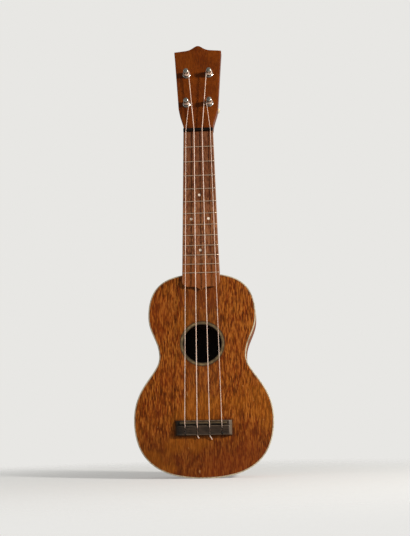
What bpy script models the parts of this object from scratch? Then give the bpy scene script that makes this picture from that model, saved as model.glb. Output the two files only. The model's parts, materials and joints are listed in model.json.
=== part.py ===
"""A soprano ukulele, built as its maker builds it: box, neck, fretboard, bridge, four pegs and four strings.

Metres, +Z up along the neck, -Y the front of the instrument, +X to the right as seen from the front.
The origin is at the tail, in the middle of the body's depth, where a stand's ledge would carry it.
"""

import math

import bmesh
import bpy
from mathutils import Matrix, Vector

MM = 0.001
GAP = 0.3 * MM

# Body: plan outline, as half widths, with the reach of each curve's handles
# The lower bout's height is above the tail. A drop is measured down from the shoulder, as the scale is.
BODY_LENGTH = 236.5 * MM
BODY_DEPTH = 57.0 * MM
LOWER_BOUT = 80.8 * MM
LOWER_BOUT_Z = 66.7 * MM
WAIST = 50.7 * MM
WAIST_DROP = 97.1 * MM
UPPER_BOUT = 63.1 * MM
UPPER_BOUT_DROP = 50.0 * MM
TAIL_REACH = 32.4 * MM
LOWER_BOUT_REACH_DOWN = 60.0 * MM
LOWER_BOUT_REACH_UP = 40.0 * MM
WAIST_REACH_DOWN = 20.3 * MM
WAIST_REACH_UP = 18.6 * MM
UPPER_BOUT_REACH_DOWN = 19.4 * MM
UPPER_BOUT_REACH_UP = 46.0 * MM
SHOULDER_REACH = 30.0 * MM
POINTS_PER_CURVE = 9

# Body: woods
TOP_THICKNESS = 1.8 * MM
BACK_THICKNESS = 1.8 * MM
SIDE_THICKNESS = 1.8 * MM
BINDING_WIDTH = 1.3 * MM
BINDING_HEIGHT = 2.0 * MM
LINING_WIDTH = 5.0 * MM
LINING_HEIGHT = 5.0 * MM
BLOCK_HALF_WIDTH = 21.0 * MM
NECK_BLOCK_LENGTH = 28.0 * MM
TAIL_BLOCK_LENGTH = 13.0 * MM
BRACE_WIDTH = 6.0 * MM
TOP_BRACE_HEIGHT = 7.5 * MM
BACK_BRACE_HEIGHT = 8.0 * MM
TOP_BRACE_UPPER_DROP = 44.5 * MM
TOP_BRACE_LOWER_DROP = 120.5 * MM
BACK_BRACE_UPPER_DROP = 58.5 * MM
BACK_BRACE_LOWER_Z = 74.0 * MM
PATCH_LENGTH = 76.0 * MM
PATCH_WIDTH = 22.0 * MM
PATCH_THICKNESS = 1.5 * MM

# Soundhole and its inlaid ring
SOUNDHOLE_RADIUS = 22.3 * MM
SOUNDHOLE_DROP = 82.5 * MM
RING_WIDTH = 3.7 * MM
RING_DEPTH = 0.8 * MM
ROUND_SEGMENTS = 48

# Strings and frets
SCALE_LENGTH = 346.0 * MM
TWELFTH_PAST_BODY = 0.7 * MM
BRIDGE_COMPENSATION = 1.5 * MM
FRET_COUNT = 12
STRING_SPREAD_NUT = 29.5 * MM
STRING_SPREAD_BRIDGE = 42.4 * MM
STRING_DIAMETERS = (0.75 * MM, 1.05 * MM, 0.95 * MM, 0.70 * MM)

# Neck, heel and fretboard
NUT_WIDTH = 35.8 * MM
WIDTH_AT_TWELFTH = 44.0 * MM
FRETBOARD_THICKNESS = 3.7 * MM
TONGUE_SHOULDER = 15.7 * MM
TONGUE_CORNER = 7.0 * MM
TONGUE_POINT = 5.2 * MM
TONGUE_POINT_SPREAD = 3.0 * MM
NECK_DEPTH_NUT = 12.0 * MM
NECK_DEPTH_TWELFTH = 14.5 * MM
NECK_POINTS = 14
NECK_SIDE_POWER = 0.8
NECK_BACK_POWER = 0.85
HEEL_DEPTH = 53.0 * MM
HEEL_ROUND = 60.0 * MM
HEEL_FOOT = 7.0 * MM
HEEL_LENGTH = 42.0 * MM
HEEL_POWER = 2.4
HEEL_RUN_IN = 12.0 * MM
HEEL_SHARES = (0.08, 0.17, 0.28, 0.4, 0.55, 0.75, 1.0)
FRET_WIDTH = 1.5 * MM
FRET_CROWN = 0.9 * MM
FRET_TANG_WIDTH = 0.5 * MM
FRET_TANG_DEPTH = 1.5 * MM
FRET_END_INSET = 0.2 * MM
DOT_RADIUS = 1.5 * MM
DOT_DEPTH = 1.2 * MM
DOT_PAIR_SPREAD = 20.6 * MM
DOT_SPACES = (5, 7, 7, 10)
NUT_THICKNESS = 4.0 * MM
NUT_HEIGHT = 6.6 * MM
NUT_BACK_HEIGHT = 5.9 * MM
NUT_SLOT_FLOOR = 5.6 * MM

# Bridge and saddle: heights are above the soundboard
BRIDGE_LENGTH = 65.0 * MM
BRIDGE_WIDTH = 16.9 * MM
BRIDGE_END_SLOPE = 4.0 * MM
BRIDGE_END_SHARE = 0.35
BLOCK_WIDTH = 11.1 * MM
BLOCK_HEIGHT = 7.2 * MM
BLOCK_WALL = 4.3 * MM
BLOCK_REAR_ROUND = 2.4 * MM
BLOCK_FRONT_BEVEL = 0.6 * MM
BLOCK_GROOVE = 0.8 * MM
SEAT_HEIGHT = 5.2 * MM
SEAT_BEVEL = 1.6 * MM
SADDLE_TO_FRONT = 1.3 * MM
SADDLE_THICKNESS = 2.4 * MM
SADDLE_LENGTH = 54.0 * MM
SADDLE_HEIGHT = 9.3 * MM
SADDLE_SHOULDER = 0.9 * MM
SADDLE_FLOOR = 3.0 * MM
STRING_SLOT_FLOOR = 3.2 * MM
STRING_SLOT_PLAY = 0.9 * MM
TAIL_ENDS = (0.0, 2.6 * MM, 4.6 * MM, 0.0)

# Headstock: half widths and distances along its face from the nut
HEAD_ANGLE = math.radians(6.8)
HEAD_THICKNESS = 13.0 * MM
HEAD_THROAT = 24.2 * MM
HEAD_THROAT_S = 31.0 * MM
HEAD_EAR = 28.2 * MM
HEAD_EAR_S = 92.0 * MM
HEAD_CORNER = 29.2 * MM
HEAD_CORNER_S = 105.0 * MM
HEAD_CREST_S = 107.0 * MM
HEAD_PEAK_S = 112.9 * MM
HEAD_PEAK_SPREAD = 7.6 * MM
HEAD_TOP_POINTS = 14
HEAD_THROAT_POINTS = 6

# Pegs: heights are above the headstock's face
PEG_X = 14.0 * MM
PEG_LOWER_S = 33.6 * MM
PEG_SPACING = 39.5 * MM
POST_RADIUS = 2.9 * MM
POST_WAIST_RADIUS = 2.5 * MM
POST_TIP_RADIUS = 3.1 * MM
POST_HEIGHT = 12.6 * MM
POST_TAIL = 6.0 * MM
FERRULE_RADIUS = 4.8 * MM
FERRULE_HEIGHT = 2.4 * MM
BUTTON_LENGTH = 17.0 * MM
BUTTON_HALF_WIDTH = 11.8 * MM
BUTTON_HALF_THICKNESS = 4.2 * MM
BUTTON_STEM_RADIUS = 4.6 * MM
SCREW_RADIUS = 1.0 * MM
SCREW_HEAD_RADIUS = 2.3 * MM
SCREW_HEAD_HEIGHT = 1.3 * MM
SCREW_LENGTH = 8.0 * MM
WINDING_TURNS = 2.5
WINDING_TOP = 7.4 * MM
WINDING_SPACE = 0.55 * MM
WINDING_POINTS = 24
BUTTON_TURNS = (math.radians(70), math.radians(25), math.radians(140), math.radians(4))

FRONT_Y = -BODY_DEPTH / 2
WAIST_Z = BODY_LENGTH - WAIST_DROP
UPPER_BOUT_Z = BODY_LENGTH - UPPER_BOUT_DROP
SOUNDHOLE_Z = BODY_LENGTH - SOUNDHOLE_DROP
NUT_Z = BODY_LENGTH + TWELFTH_PAST_BODY + SCALE_LENGTH / 2
SADDLE_Z = NUT_Z - SCALE_LENGTH - BRIDGE_COMPENSATION
HEAD_Z = NUT_Z + NUT_THICKNESS
FRET_TOP = FRETBOARD_THICKNESS + 2 * GAP + FRET_CROWN
PEGS = ((-1, 0), (-1, 1), (1, 1), (1, 0))


def clear_scene():
    for old in list(bpy.data.objects):
        bpy.data.objects.remove(old, do_unlink=True)


def material(name, colour, roughness, metallic=0.0):
    """A Principled material, made once and shared by every piece of that stuff."""
    made = bpy.data.materials.get(name)
    if made:
        return made
    made = bpy.data.materials.new(name)
    made.use_nodes = True
    made.diffuse_color = (*colour, 1.0)
    shader = made.node_tree.nodes["Principled BSDF"]
    shader.inputs["Base Color"].default_value = (*colour, 1.0)
    shader.inputs["Roughness"].default_value = roughness
    shader.inputs["Metallic"].default_value = metallic
    return made


def koa():
    return material("body_wood", (0.36, 0.14, 0.035), 0.42)


def dark_koa():
    return material("neck_wood", (0.25, 0.07, 0.02), 0.4)


def fretboard_wood():
    return material("fretboard_wood", (0.33, 0.10, 0.04), 0.5)


def inner_wood():
    return material("inner_wood", (0.50, 0.33, 0.17), 0.7)


def bridge_wood():
    return material("bridge_wood", (0.045, 0.035, 0.03), 0.4)


def saddle_wood():
    return material("saddle_wood", (0.13, 0.09, 0.045), 0.45)


def ebony():
    return material("ebony", (0.015, 0.012, 0.01), 0.35)


def ivoroid():
    return material("ivoroid", (0.72, 0.66, 0.50), 0.3)


def nickel():
    return material("nickel", (0.72, 0.70, 0.64), 0.22, 1.0)


def fret_metal():
    return material("fret_metal", (0.62, 0.56, 0.40), 0.3, 1.0)


def pearl():
    return material("pearl", (0.80, 0.76, 0.62), 0.25)


def gut():
    return material("string_gut", (0.78, 0.62, 0.52), 0.4)


def add_mesh(name, mesh, stuff, smooth_angle=None):
    """Puts a finished bmesh into the scene as one named object."""
    bmesh.ops.recalc_face_normals(mesh, faces=mesh.faces[:])
    data = bpy.data.meshes.new(name)
    mesh.to_mesh(data)
    mesh.free()
    data.materials.append(stuff)
    if smooth_angle:
        data.shade_smooth()
        data.set_sharp_from_angle(angle=smooth_angle)
    made = bpy.data.objects.new(name, data)
    bpy.context.scene.collection.objects.link(made)
    return made


def loft(sections, closed=False):
    """A bmesh through rings of equal count. Its two ends are capped unless the rings close on themselves."""
    mesh = bmesh.new()
    rings = [[mesh.verts.new(point) for point in section] for section in sections]
    pairs = list(zip(rings, rings[1:]))
    if closed:
        pairs.append((rings[-1], rings[0]))
    else:
        mesh.faces.new(rings[0])
        mesh.faces.new(rings[-1])
    for first, second in pairs:
        count = len(first)
        for i in range(count):
            j = (i + 1) % count
            mesh.faces.new((first[i], first[j], second[j], second[i]))
    return mesh


def plan(x, depth, z):
    """A point of the body: depth runs back from the soundboard's face."""
    return Vector((x, FRONT_Y + depth, z))


def plate(name, outline, front, back, stuff):
    """A flat plate with this (x, z) outline between two depths."""
    rings = [[plan(x, depth, z) for x, z in outline] for depth in (front, back)]
    return add_mesh(name, loft(rings), stuff)


def strip(name, outer, inner, front, back, stuff, closed=False):
    """A bent strip: a four-cornered section carried along two matching (x, z) lines."""
    sections = [
        [plan(a[0], front, a[1]), plan(b[0], front, b[1]), plan(b[0], back, b[1]), plan(a[0], back, a[1])]
        for a, b in zip(outer, inner)
    ]
    return add_mesh(name, loft(sections, closed), stuff)


def box(name, x0, x1, depth0, depth1, z0, z1, stuff):
    return plate(name, ((x0, z0), (x1, z0), (x1, z1), (x0, z1)), depth0, depth1, stuff)


def cut(target, cutter):
    """Takes the cutter's solid out of the target, and leaves the cutter as a hidden guide."""
    cutter.hide_render = True
    cutter.display_type = "WIRE"
    modifier = target.modifiers.new("cut_" + cutter.name, "BOOLEAN")
    modifier.operation = "DIFFERENCE"
    modifier.object = cutter


def turned(name, profile, stuff, segments=20, hollow=False):
    """A lathe-turned piece from (radius, height) points: round its own Z axis, solid or a ring."""
    mesh = bmesh.new()
    rings = []
    for radius, height in profile:
        angles = [2 * math.pi * i / segments for i in range(segments)]
        rings.append([mesh.verts.new((radius * math.cos(a), radius * math.sin(a), height)) for a in angles])
    pairs = list(zip(rings, rings[1:]))
    if hollow:
        pairs.append((rings[-1], rings[0]))
    else:
        mesh.faces.new(rings[0])
        mesh.faces.new(rings[-1])
    for first, second in pairs:
        for i in range(segments):
            j = (i + 1) % segments
            mesh.faces.new((first[i], first[j], second[j], second[i]))
    return add_mesh(name, mesh, stuff, math.radians(40))


def bezier(a, b, c, d, count):
    """Points of a cubic curve, with its unit tangents. The end point is left to the next curve."""
    found = []
    for i in range(count):
        t = i / count
        point = (1 - t) ** 3 * a + 3 * (1 - t) ** 2 * t * b + 3 * (1 - t) * t * t * c + t ** 3 * d
        slope = 3 * (1 - t) ** 2 * (b - a) + 6 * (1 - t) * t * (c - b) + 3 * t * t * (d - c)
        found.append((point, slope.normalized()))
    return found


def half_outline(inset=0.0):
    """The right half of the body's plan from tail to neck, moved in by inset, as (x, z) points."""
    tail = Vector((0, 0))
    lower = Vector((LOWER_BOUT, LOWER_BOUT_Z))
    waist = Vector((WAIST, WAIST_Z))
    upper = Vector((UPPER_BOUT, UPPER_BOUT_Z))
    top = Vector((0, BODY_LENGTH))
    up = Vector((0, 1))
    right = Vector((1, 0))
    curves = (
        (tail, tail + right * TAIL_REACH, lower - up * LOWER_BOUT_REACH_DOWN, lower),
        (lower, lower + up * LOWER_BOUT_REACH_UP, waist - up * WAIST_REACH_DOWN, waist),
        (waist, waist + up * WAIST_REACH_UP, upper - up * UPPER_BOUT_REACH_DOWN, upper),
        (upper, upper + up * UPPER_BOUT_REACH_UP, top + right * SHOULDER_REACH, top),
    )
    points = []
    for curve in curves:
        for point, slope in bezier(*curve, POINTS_PER_CURVE):
            inward = Vector((-slope.y, slope.x))
            points.append(point + inward * inset)
    points.append(top - up * inset)
    return [(point.x, point.y) for point in points]


def mirrored(points):
    return [(-x, z) for x, z in points]


def full_outline(inset=0.0):
    half = half_outline(inset)
    return half + mirrored(half[1:-1])[::-1]


def half_width_at(z, inset):
    """The inner half width of the plan at one height, read between the outline's points."""
    half = half_outline(inset)
    widths = []
    for (x0, z0), (x1, z1) in zip(half, half[1:]):
        if min(z0, z1) <= z <= max(z0, z1) and z0 != z1:
            widths.append(x0 + (x1 - x0) * (z - z0) / (z1 - z0))
    return max(widths)


def neck_width(z):
    """The fretboard's width, which runs straight from the nut through the twelfth fret."""
    share = (NUT_Z - z) / (SCALE_LENGTH / 2)
    return NUT_WIDTH + (WIDTH_AT_TWELFTH - NUT_WIDTH) * share


def fret_z(number):
    return NUT_Z - SCALE_LENGTH * (1 - 2 ** (-number / 12))


def soundboard():
    """The top, with a stepped hole: its upper step takes the inlaid ring."""
    top = plate("soundboard", full_outline(BINDING_WIDTH + GAP), 0, TOP_THICKNESS, koa())
    hole = hole_cutter("soundhole_cutter", SOUNDHOLE_RADIUS, -2 * MM, TOP_THICKNESS + 2 * MM)
    cut(top, hole)
    step = hole_cutter("ring_seat_cutter", SOUNDHOLE_RADIUS + RING_WIDTH + GAP, -2 * MM, RING_DEPTH + GAP)
    cut(top, step)


def hole_cutter(name, radius, front, back):
    rings = []
    for depth in (front, back):
        angles = [2 * math.pi * i / ROUND_SEGMENTS for i in range(ROUND_SEGMENTS)]
        rings.append([plan(radius * math.cos(a), depth, SOUNDHOLE_Z + radius * math.sin(a)) for a in angles])
    return add_mesh(name, loft(rings), ivoroid())


def soundhole_ring():
    angles = [2 * math.pi * i / ROUND_SEGMENTS for i in range(ROUND_SEGMENTS)]
    inner, outer = (
        [(radius * math.cos(a), SOUNDHOLE_Z + radius * math.sin(a)) for a in angles]
        for radius in (SOUNDHOLE_RADIUS, SOUNDHOLE_RADIUS + RING_WIDTH)
    )
    strip("soundhole_ring", outer, inner, 0, RING_DEPTH, ivoroid(), closed=True)


def box_of_the_body():
    """Back, sides, binding and the linings that join them."""
    plate("back_plate", full_outline(), BODY_DEPTH - BACK_THICKNESS, BODY_DEPTH, koa())
    strip("binding", full_outline(), full_outline(BINDING_WIDTH), 0, BINDING_HEIGHT, ivoroid(), closed=True)
    seam = GAP / 2
    front = BINDING_HEIGHT + GAP
    back = BODY_DEPTH - BACK_THICKNESS - GAP
    outer = [(max(x, seam), z) for x, z in half_outline()]
    inner = [(max(x, seam), z) for x, z in half_outline(SIDE_THICKNESS)]
    strip("side_treble", outer, inner, front, back, koa())
    strip("side_bass", mirrored(outer), mirrored(inner), front, back, koa())
    lining_front = TOP_THICKNESS + GAP
    for name, near in (("top_lining", lining_front), ("back_lining", back - LINING_HEIGHT)):
        lines = []
        for inset in (SIDE_THICKNESS + GAP, SIDE_THICKNESS + GAP + LINING_WIDTH):
            half = half_outline(inset)
            stop = BLOCK_HALF_WIDTH + GAP
            kept = [(x, z) for x, z in half if x > stop or z < BODY_LENGTH / 2]
            kept.append((stop, line_height(half, stop)))
            lines.append(mirrored(kept[1:])[::-1] + kept)
        strip(name, lines[0], lines[1], near, near + LINING_HEIGHT, inner_wood())


def line_height(half, x):
    """The height of the outline's shoulder at this half width."""
    for (x0, z0), (x1, z1) in zip(half, half[1:]):
        if z0 > BODY_LENGTH / 2 and x1 <= x <= x0 and x0 != x1:
            return z0 + (z1 - z0) * (x - x0) / (x1 - x0)
    return half[-1][1]


def blocks():
    """The neck block runs the box's full depth. The tail block sits between the two linings."""
    inset = SIDE_THICKNESS + GAP
    half = half_outline(inset)
    top_edge = [(x, z) for x, z in half if x < BLOCK_HALF_WIDTH and z > BODY_LENGTH / 2]
    top_edge.insert(0, (BLOCK_HALF_WIDTH, line_height(half, BLOCK_HALF_WIDTH)))
    foot = BODY_LENGTH - NECK_BLOCK_LENGTH
    shape = [(-BLOCK_HALF_WIDTH, foot), (BLOCK_HALF_WIDTH, foot)] + top_edge + mirrored(top_edge[:-1])[::-1]
    front = TOP_THICKNESS + GAP
    back = BODY_DEPTH - BACK_THICKNESS - GAP
    plate("neck_block", shape, front, back, inner_wood())
    low_edge = [(x, z) for x, z in half if x < BLOCK_HALF_WIDTH and z < BODY_LENGTH / 2]
    edge_x, edge_z = low_edge[-1]
    head = edge_z + TAIL_BLOCK_LENGTH
    shape = mirrored(low_edge[1:])[::-1] + low_edge + [(edge_x, head), (-edge_x, head)]
    inner_front = front + LINING_HEIGHT + GAP
    inner_back = back - LINING_HEIGHT - GAP
    plate("tail_block", shape, inner_front, inner_back, inner_wood())


def braces():
    """Cross bars that stop short of the linings, and the patch that backs the bridge."""
    inset = SIDE_THICKNESS + 2 * GAP + LINING_WIDTH
    front = TOP_THICKNESS + GAP
    back = BODY_DEPTH - BACK_THICKNESS - GAP
    bars = (
        ("top_brace_upper", BODY_LENGTH - TOP_BRACE_UPPER_DROP, front, front + TOP_BRACE_HEIGHT),
        ("top_brace_lower", BODY_LENGTH - TOP_BRACE_LOWER_DROP, front, front + TOP_BRACE_HEIGHT),
        ("back_brace_upper", BODY_LENGTH - BACK_BRACE_UPPER_DROP, back - BACK_BRACE_HEIGHT, back),
        ("back_brace_lower", BACK_BRACE_LOWER_Z, back - BACK_BRACE_HEIGHT, back),
    )
    for name, z, near, far in bars:
        low, high = z - BRACE_WIDTH / 2, z + BRACE_WIDTH / 2
        reach = min(half_width_at(low, inset), half_width_at(z, inset), half_width_at(high, inset))
        box(name, -reach, reach, near, far, low, high, inner_wood())
    patch_z = SADDLE_Z - BRIDGE_WIDTH / 2 + SADDLE_THICKNESS
    box(
        "bridge_patch", -PATCH_LENGTH / 2, PATCH_LENGTH / 2, front, front + PATCH_THICKNESS,
        patch_z - PATCH_WIDTH / 2, patch_z + PATCH_WIDTH / 2, inner_wood(),
    )


def neck_section(z, width, top, depth, flat):
    """One ring of the neck: flat on top, round behind, cut flat where it would pass the heel's cap."""
    ring = [plan(-width / 2, top, z), plan(width / 2, top, z)]
    for i in range(1, NECK_POINTS):
        angle = math.pi * i / NECK_POINTS
        across = math.copysign(abs(math.cos(angle)) ** NECK_SIDE_POWER, math.cos(angle))
        down = top + (depth - top) * math.sin(angle) ** NECK_BACK_POWER
        ring.append(plan(width / 2 * across, min(down, flat), z))
    return ring


def neck_depth(z):
    """The neck's depth behind the fretboard: a slow taper, and the heel's sweep near the body."""
    share = (NUT_Z - z) / (SCALE_LENGTH / 2)
    shaft = NECK_DEPTH_NUT + (NECK_DEPTH_TWELFTH - NECK_DEPTH_NUT) * share
    along = (z - BODY_LENGTH - HEEL_FOOT) / HEEL_LENGTH
    if along >= 1:
        return shaft
    return shaft + (HEEL_ROUND - shaft) * (1 - max(along, 0.0)) ** HEEL_POWER


def head_matrix(x=0.0, along=0.0):
    """Places a piece on the headstock's face: its Z runs out of the face and its Y up the head."""
    start = Vector((0, FRONT_Y, HEAD_Z))
    place = start + Vector((x, math.sin(HEAD_ANGLE) * along, math.cos(HEAD_ANGLE) * along))
    return Matrix.Translation(place) @ Matrix.Rotation(math.pi / 2 - HEAD_ANGLE, 4, "X")


def head_outline():
    """Half of the headstock's face: cove at the throat, flare, corner, and a crown with a centre peak."""
    half = []
    for i in range(HEAD_THROAT_POINTS + 1):
        t = i / HEAD_THROAT_POINTS
        ease = t * t * (3 - 2 * t)
        half.append((NUT_WIDTH / 2 + (HEAD_THROAT - NUT_WIDTH / 2) * ease, HEAD_THROAT_S * t))
    half.append((HEAD_EAR, HEAD_EAR_S))
    half.append((HEAD_CORNER, HEAD_CORNER_S))
    for i in range(1, HEAD_TOP_POINTS + 1):
        x = HEAD_CORNER * (1 - i / HEAD_TOP_POINTS)
        rim = HEAD_CORNER_S + (HEAD_CREST_S - HEAD_CORNER_S) * math.sin(math.pi / 2 * i / HEAD_TOP_POINTS)
        crown = (HEAD_PEAK_S - HEAD_CREST_S) * math.exp(-((x / HEAD_PEAK_SPREAD) ** 2))
        half.append((x, rim + crown))
    return half


def neck():
    """Neck, heel and headstock from one piece of wood, cut to sit against the body's shoulder."""
    heights = [BODY_LENGTH - HEEL_RUN_IN, BODY_LENGTH, BODY_LENGTH + HEEL_FOOT]
    heights += [BODY_LENGTH + HEEL_FOOT + HEEL_LENGTH * share for share in HEEL_SHARES]
    first = heights[-1]
    heights += [first + (HEAD_Z - first) * i / 4 for i in range(1, 5)]
    sections = [neck_section(z, neck_width(z), 0, neck_depth(z), HEEL_DEPTH) for z in heights]
    for past, narrower in ((5 * MM, 1 * MM), (10 * MM, 4 * MM)):
        z = HEAD_Z + past
        top = past * math.tan(HEAD_ANGLE) + 1.5 * MM
        bottom = NECK_DEPTH_NUT + past * math.tan(HEAD_ANGLE) * 0.5
        sections.append(neck_section(z, NUT_WIDTH - narrower, top, bottom, HEEL_DEPTH))
    shaft = add_mesh("neck", loft(sections), dark_koa(), math.radians(35))
    half = head_outline()
    outline = half + [(-x, s) for x, s in half[:-1]][::-1]
    rings = [[Vector((x, s, h)) for x, s in outline] for h in (0.0, -HEAD_THICKNESS)]
    head = add_mesh("headstock_guide", loft(rings), dark_koa())
    head.matrix_world = head_matrix()
    head.hide_render = True
    head.display_type = "WIRE"
    join = shaft.modifiers.new("headstock", "BOOLEAN")
    join.operation = "UNION"
    join.object = head
    rings = [[plan(x, depth, z) for x, z in full_outline(-GAP)] for depth in (-5 * MM, BODY_DEPTH + 5 * MM)]
    cut(shaft, add_mesh("body_cutter", loft(rings), koa()))
    for side, row in PEGS:
        wide, past = POST_RADIUS + GAP, 4 * MM
        hole = turned(f"peg_hole_{side}_{row}", ((wide, -HEAD_THICKNESS - past), (wide, past)), nickel())
        hole.matrix_world = head_matrix(side * PEG_X, PEG_LOWER_S + row * PEG_SPACING)
        cut(shaft, hole)


def tongue_outline():
    """Half of the fretboard's lower end: round corner, then a shallow ogee that runs down to a point."""
    shoulder_z = BODY_LENGTH - TONGUE_SHOULDER
    corner_z = shoulder_z + TONGUE_CORNER
    wide = neck_width(corner_z) / 2
    half = []
    for i in range(5):
        angle = math.pi / 2 * i / 4
        x = wide - TONGUE_CORNER * (1 - math.cos(angle))
        half.append((x, corner_z - TONGUE_CORNER * math.sin(angle)))
    start = half[-1][0]
    for share in (0.75, 0.55, 0.4, 0.27, 0.17, 0.08, 0.0):
        x = start * share
        half.append((x, shoulder_z - TONGUE_POINT * math.exp(-x / TONGUE_POINT_SPREAD)))
    return half


def dot_places():
    """Each inlaid dot as (x, z): in the middle of its fret space, and in a pair at the seventh."""
    places = []
    for space in DOT_SPACES:
        z = (fret_z(space) + fret_z(space - 1)) / 2
        pair = DOT_SPACES.count(space) > 1
        side = 0.0
        if pair:
            side = -DOT_PAIR_SPREAD / 2 if not places or places[-1][1] != z else DOT_PAIR_SPREAD / 2
        places.append((side, z))
    return places


def fretboard():
    """The board with its sawn fret slots and the seats of its dots. Frets and dots follow as pieces."""
    high = NUT_Z - GAP
    tongue = tongue_outline()
    half = [(neck_width(high) / 2, high)] + tongue
    outline = half + mirrored(half[:-1])[::-1]
    face = -FRETBOARD_THICKNESS - GAP
    board = plate("fretboard", outline, face, -GAP, fretboard_wood())
    slot = FRET_TANG_WIDTH + 2 * GAP
    for number in range(1, FRET_COUNT + 1):
        z = fret_z(number)
        reach = neck_width(z)
        floor = face + FRET_TANG_DEPTH + GAP
        saw = box(f"fret_slot_{number}", -reach, reach, face - MM, floor, z - slot / 2, z + slot / 2, ebony())
        cut(board, saw)
        fret(number, z, face)
    for number, (x, z) in enumerate(dot_places(), 1):
        wide = DOT_RADIUS + GAP / 2
        seat = turned(f"dot_seat_{number}", ((wide, -MM), (wide, DOT_DEPTH + GAP)), ebony())
        seat.matrix_world = Matrix.Translation(plan(x, face, z)) @ Matrix.Rotation(-math.pi / 2, 4, "X")
        cut(board, seat)
        dot = turned(f"fret_dot_{number}", ((DOT_RADIUS, 0), (DOT_RADIUS, DOT_DEPTH)), pearl(), 16)
        dot.matrix_world = seat.matrix_world


def fret(number, z, face):
    """A fret: low round crown over a thin tang, the full width of the board."""
    reach = neck_width(z) / 2 - FRET_END_INSET
    seat = face - GAP
    tang = FRET_TANG_WIDTH / 2
    floor = face + FRET_TANG_DEPTH
    profile = [(-tang, floor), (-tang, seat), (-FRET_WIDTH / 2, seat)]
    for i in range(1, 6):
        angle = math.pi * i / 6
        profile.append((-FRET_WIDTH / 2 * math.cos(angle), seat - FRET_CROWN * math.sin(angle)))
    profile += [(FRET_WIDTH / 2, seat), (tang, seat), (tang, floor)]
    rings = [[plan(x, depth, z + across) for across, depth in profile] for x in (-reach, reach)]
    add_mesh(f"fret_{number:02d}", loft(rings), fret_metal(), math.radians(40))


def string_x(index, at_nut):
    spread = STRING_SPREAD_NUT if at_nut else STRING_SPREAD_BRIDGE
    return spread * (index / 3 - 0.5)


def nut():
    """A black bar behind the board's end, its top falling towards the headstock, with four string slots."""
    half = NUT_WIDTH / 2
    front = ((-GAP, NUT_Z), (-NUT_HEIGHT, NUT_Z), (-NUT_BACK_HEIGHT, HEAD_Z - GAP), (-GAP, HEAD_Z - GAP))
    rings = [[plan(x, depth, z) for depth, z in front] for x in (-half, half)]
    bar = add_mesh("nut", loft(rings), ebony())
    for index, diameter in enumerate(STRING_DIAMETERS):
        x = string_x(index, True)
        reach = diameter / 2 + GAP
        slot = box(
            f"nut_slot_{index + 1}", x - reach, x + reach, -NUT_HEIGHT - MM, -NUT_SLOT_FLOOR,
            NUT_Z - MM, HEAD_Z + MM, ebony(),
        )
        cut(bar, slot)


def bridge():
    """A low block with sloped ends: tie block behind, saw groove, and a seat for the saddle in front."""
    front_z = SADDLE_Z + SADDLE_THICKNESS / 2 + GAP + SADDLE_TO_FRONT
    rear_z = front_z - BRIDGE_WIDTH
    block_end = rear_z + BLOCK_WIDTH
    groove_end = block_end + BLOCK_GROOVE
    shoulder = (BLOCK_WALL + 2 * BLOCK_HEIGHT) / 3
    profile = (
        (rear_z, GAP), (rear_z, BLOCK_WALL), (rear_z + BLOCK_REAR_ROUND / 3, shoulder),
        (rear_z + BLOCK_REAR_ROUND, BLOCK_HEIGHT), (block_end - BLOCK_FRONT_BEVEL, BLOCK_HEIGHT),
        (block_end, BLOCK_HEIGHT - BLOCK_FRONT_BEVEL), (block_end, BLOCK_WALL), (groove_end, BLOCK_WALL),
        (groove_end, SEAT_HEIGHT), (front_z - SEAT_BEVEL / 2, SEAT_HEIGHT),
        (front_z, SEAT_HEIGHT - SEAT_BEVEL), (front_z, GAP),
    )
    half = BRIDGE_LENGTH / 2
    flat = half - BRIDGE_END_SLOPE
    ends = ((-half, BRIDGE_END_SHARE), (-flat, 1), (flat, 1), (half, BRIDGE_END_SHARE))
    rings = [[plan(x, -GAP - (height - GAP) * share, z) for z, height in profile] for x, share in ends]
    block = add_mesh("bridge", loft(rings), bridge_wood())
    seat = SADDLE_THICKNESS / 2 + GAP
    reach = SADDLE_LENGTH / 2 + GAP
    slot = box(
        "saddle_seat_cutter", -reach, reach, -20 * MM, -SADDLE_FLOOR, SADDLE_Z - seat, SADDLE_Z + seat,
        ebony(),
    )
    cut(block, slot)
    for index, diameter in enumerate(STRING_DIAMETERS):
        x = string_x(index, False)
        reach = (diameter + STRING_SLOT_PLAY) / 2
        saw = box(
            f"string_slot_{index + 1}", x - reach, x + reach, -20 * MM, -STRING_SLOT_FLOOR, rear_z - MM,
            groove_end + MM, ebony(),
        )
        cut(block, saw)
    thick = SADDLE_THICKNESS / 2
    crown = (
        (-thick, SADDLE_FLOOR + GAP), (-thick, SADDLE_HEIGHT - SADDLE_SHOULDER), (-thick / 2, SADDLE_HEIGHT),
        (thick / 2, SADDLE_HEIGHT), (thick, SADDLE_HEIGHT - SADDLE_SHOULDER), (thick, SADDLE_FLOOR + GAP),
    )
    rings = [
        [plan(x, -height, SADDLE_Z + across) for across, height in crown]
        for x in (-SADDLE_LENGTH / 2, SADDLE_LENGTH / 2)
    ]
    add_mesh("saddle", loft(rings), saddle_wood())
    return rear_z


def winding_radius(diameter):
    return POST_WAIST_RADIUS + GAP + diameter / 2


def winding_points(index):
    """The string's turns round its post: down the post, with a straight end one diameter long at each end."""
    side, row = PEGS[index]
    diameter = STRING_DIAMETERS[index]
    radius = winding_radius(diameter)
    turn = -side
    start = 0.0 if side < 0 else math.pi
    steps = int(WINDING_TURNS * WINDING_POINTS)
    points = []
    for i in range(steps + 1):
        angle = start + turn * 2 * math.pi * i / WINDING_POINTS
        height = WINDING_TOP - (diameter + WINDING_SPACE) * i / WINDING_POINTS
        points.append(Vector((radius * math.cos(angle), radius * math.sin(angle), height)))
    first = points[0] - Vector((0, diameter, 0))
    last_angle = start + turn * 2 * math.pi * steps / WINDING_POINTS
    away = Vector((-math.sin(last_angle), math.cos(last_angle), 0)) * turn
    return [first] + points + [points[-1] + away * diameter]


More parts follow.
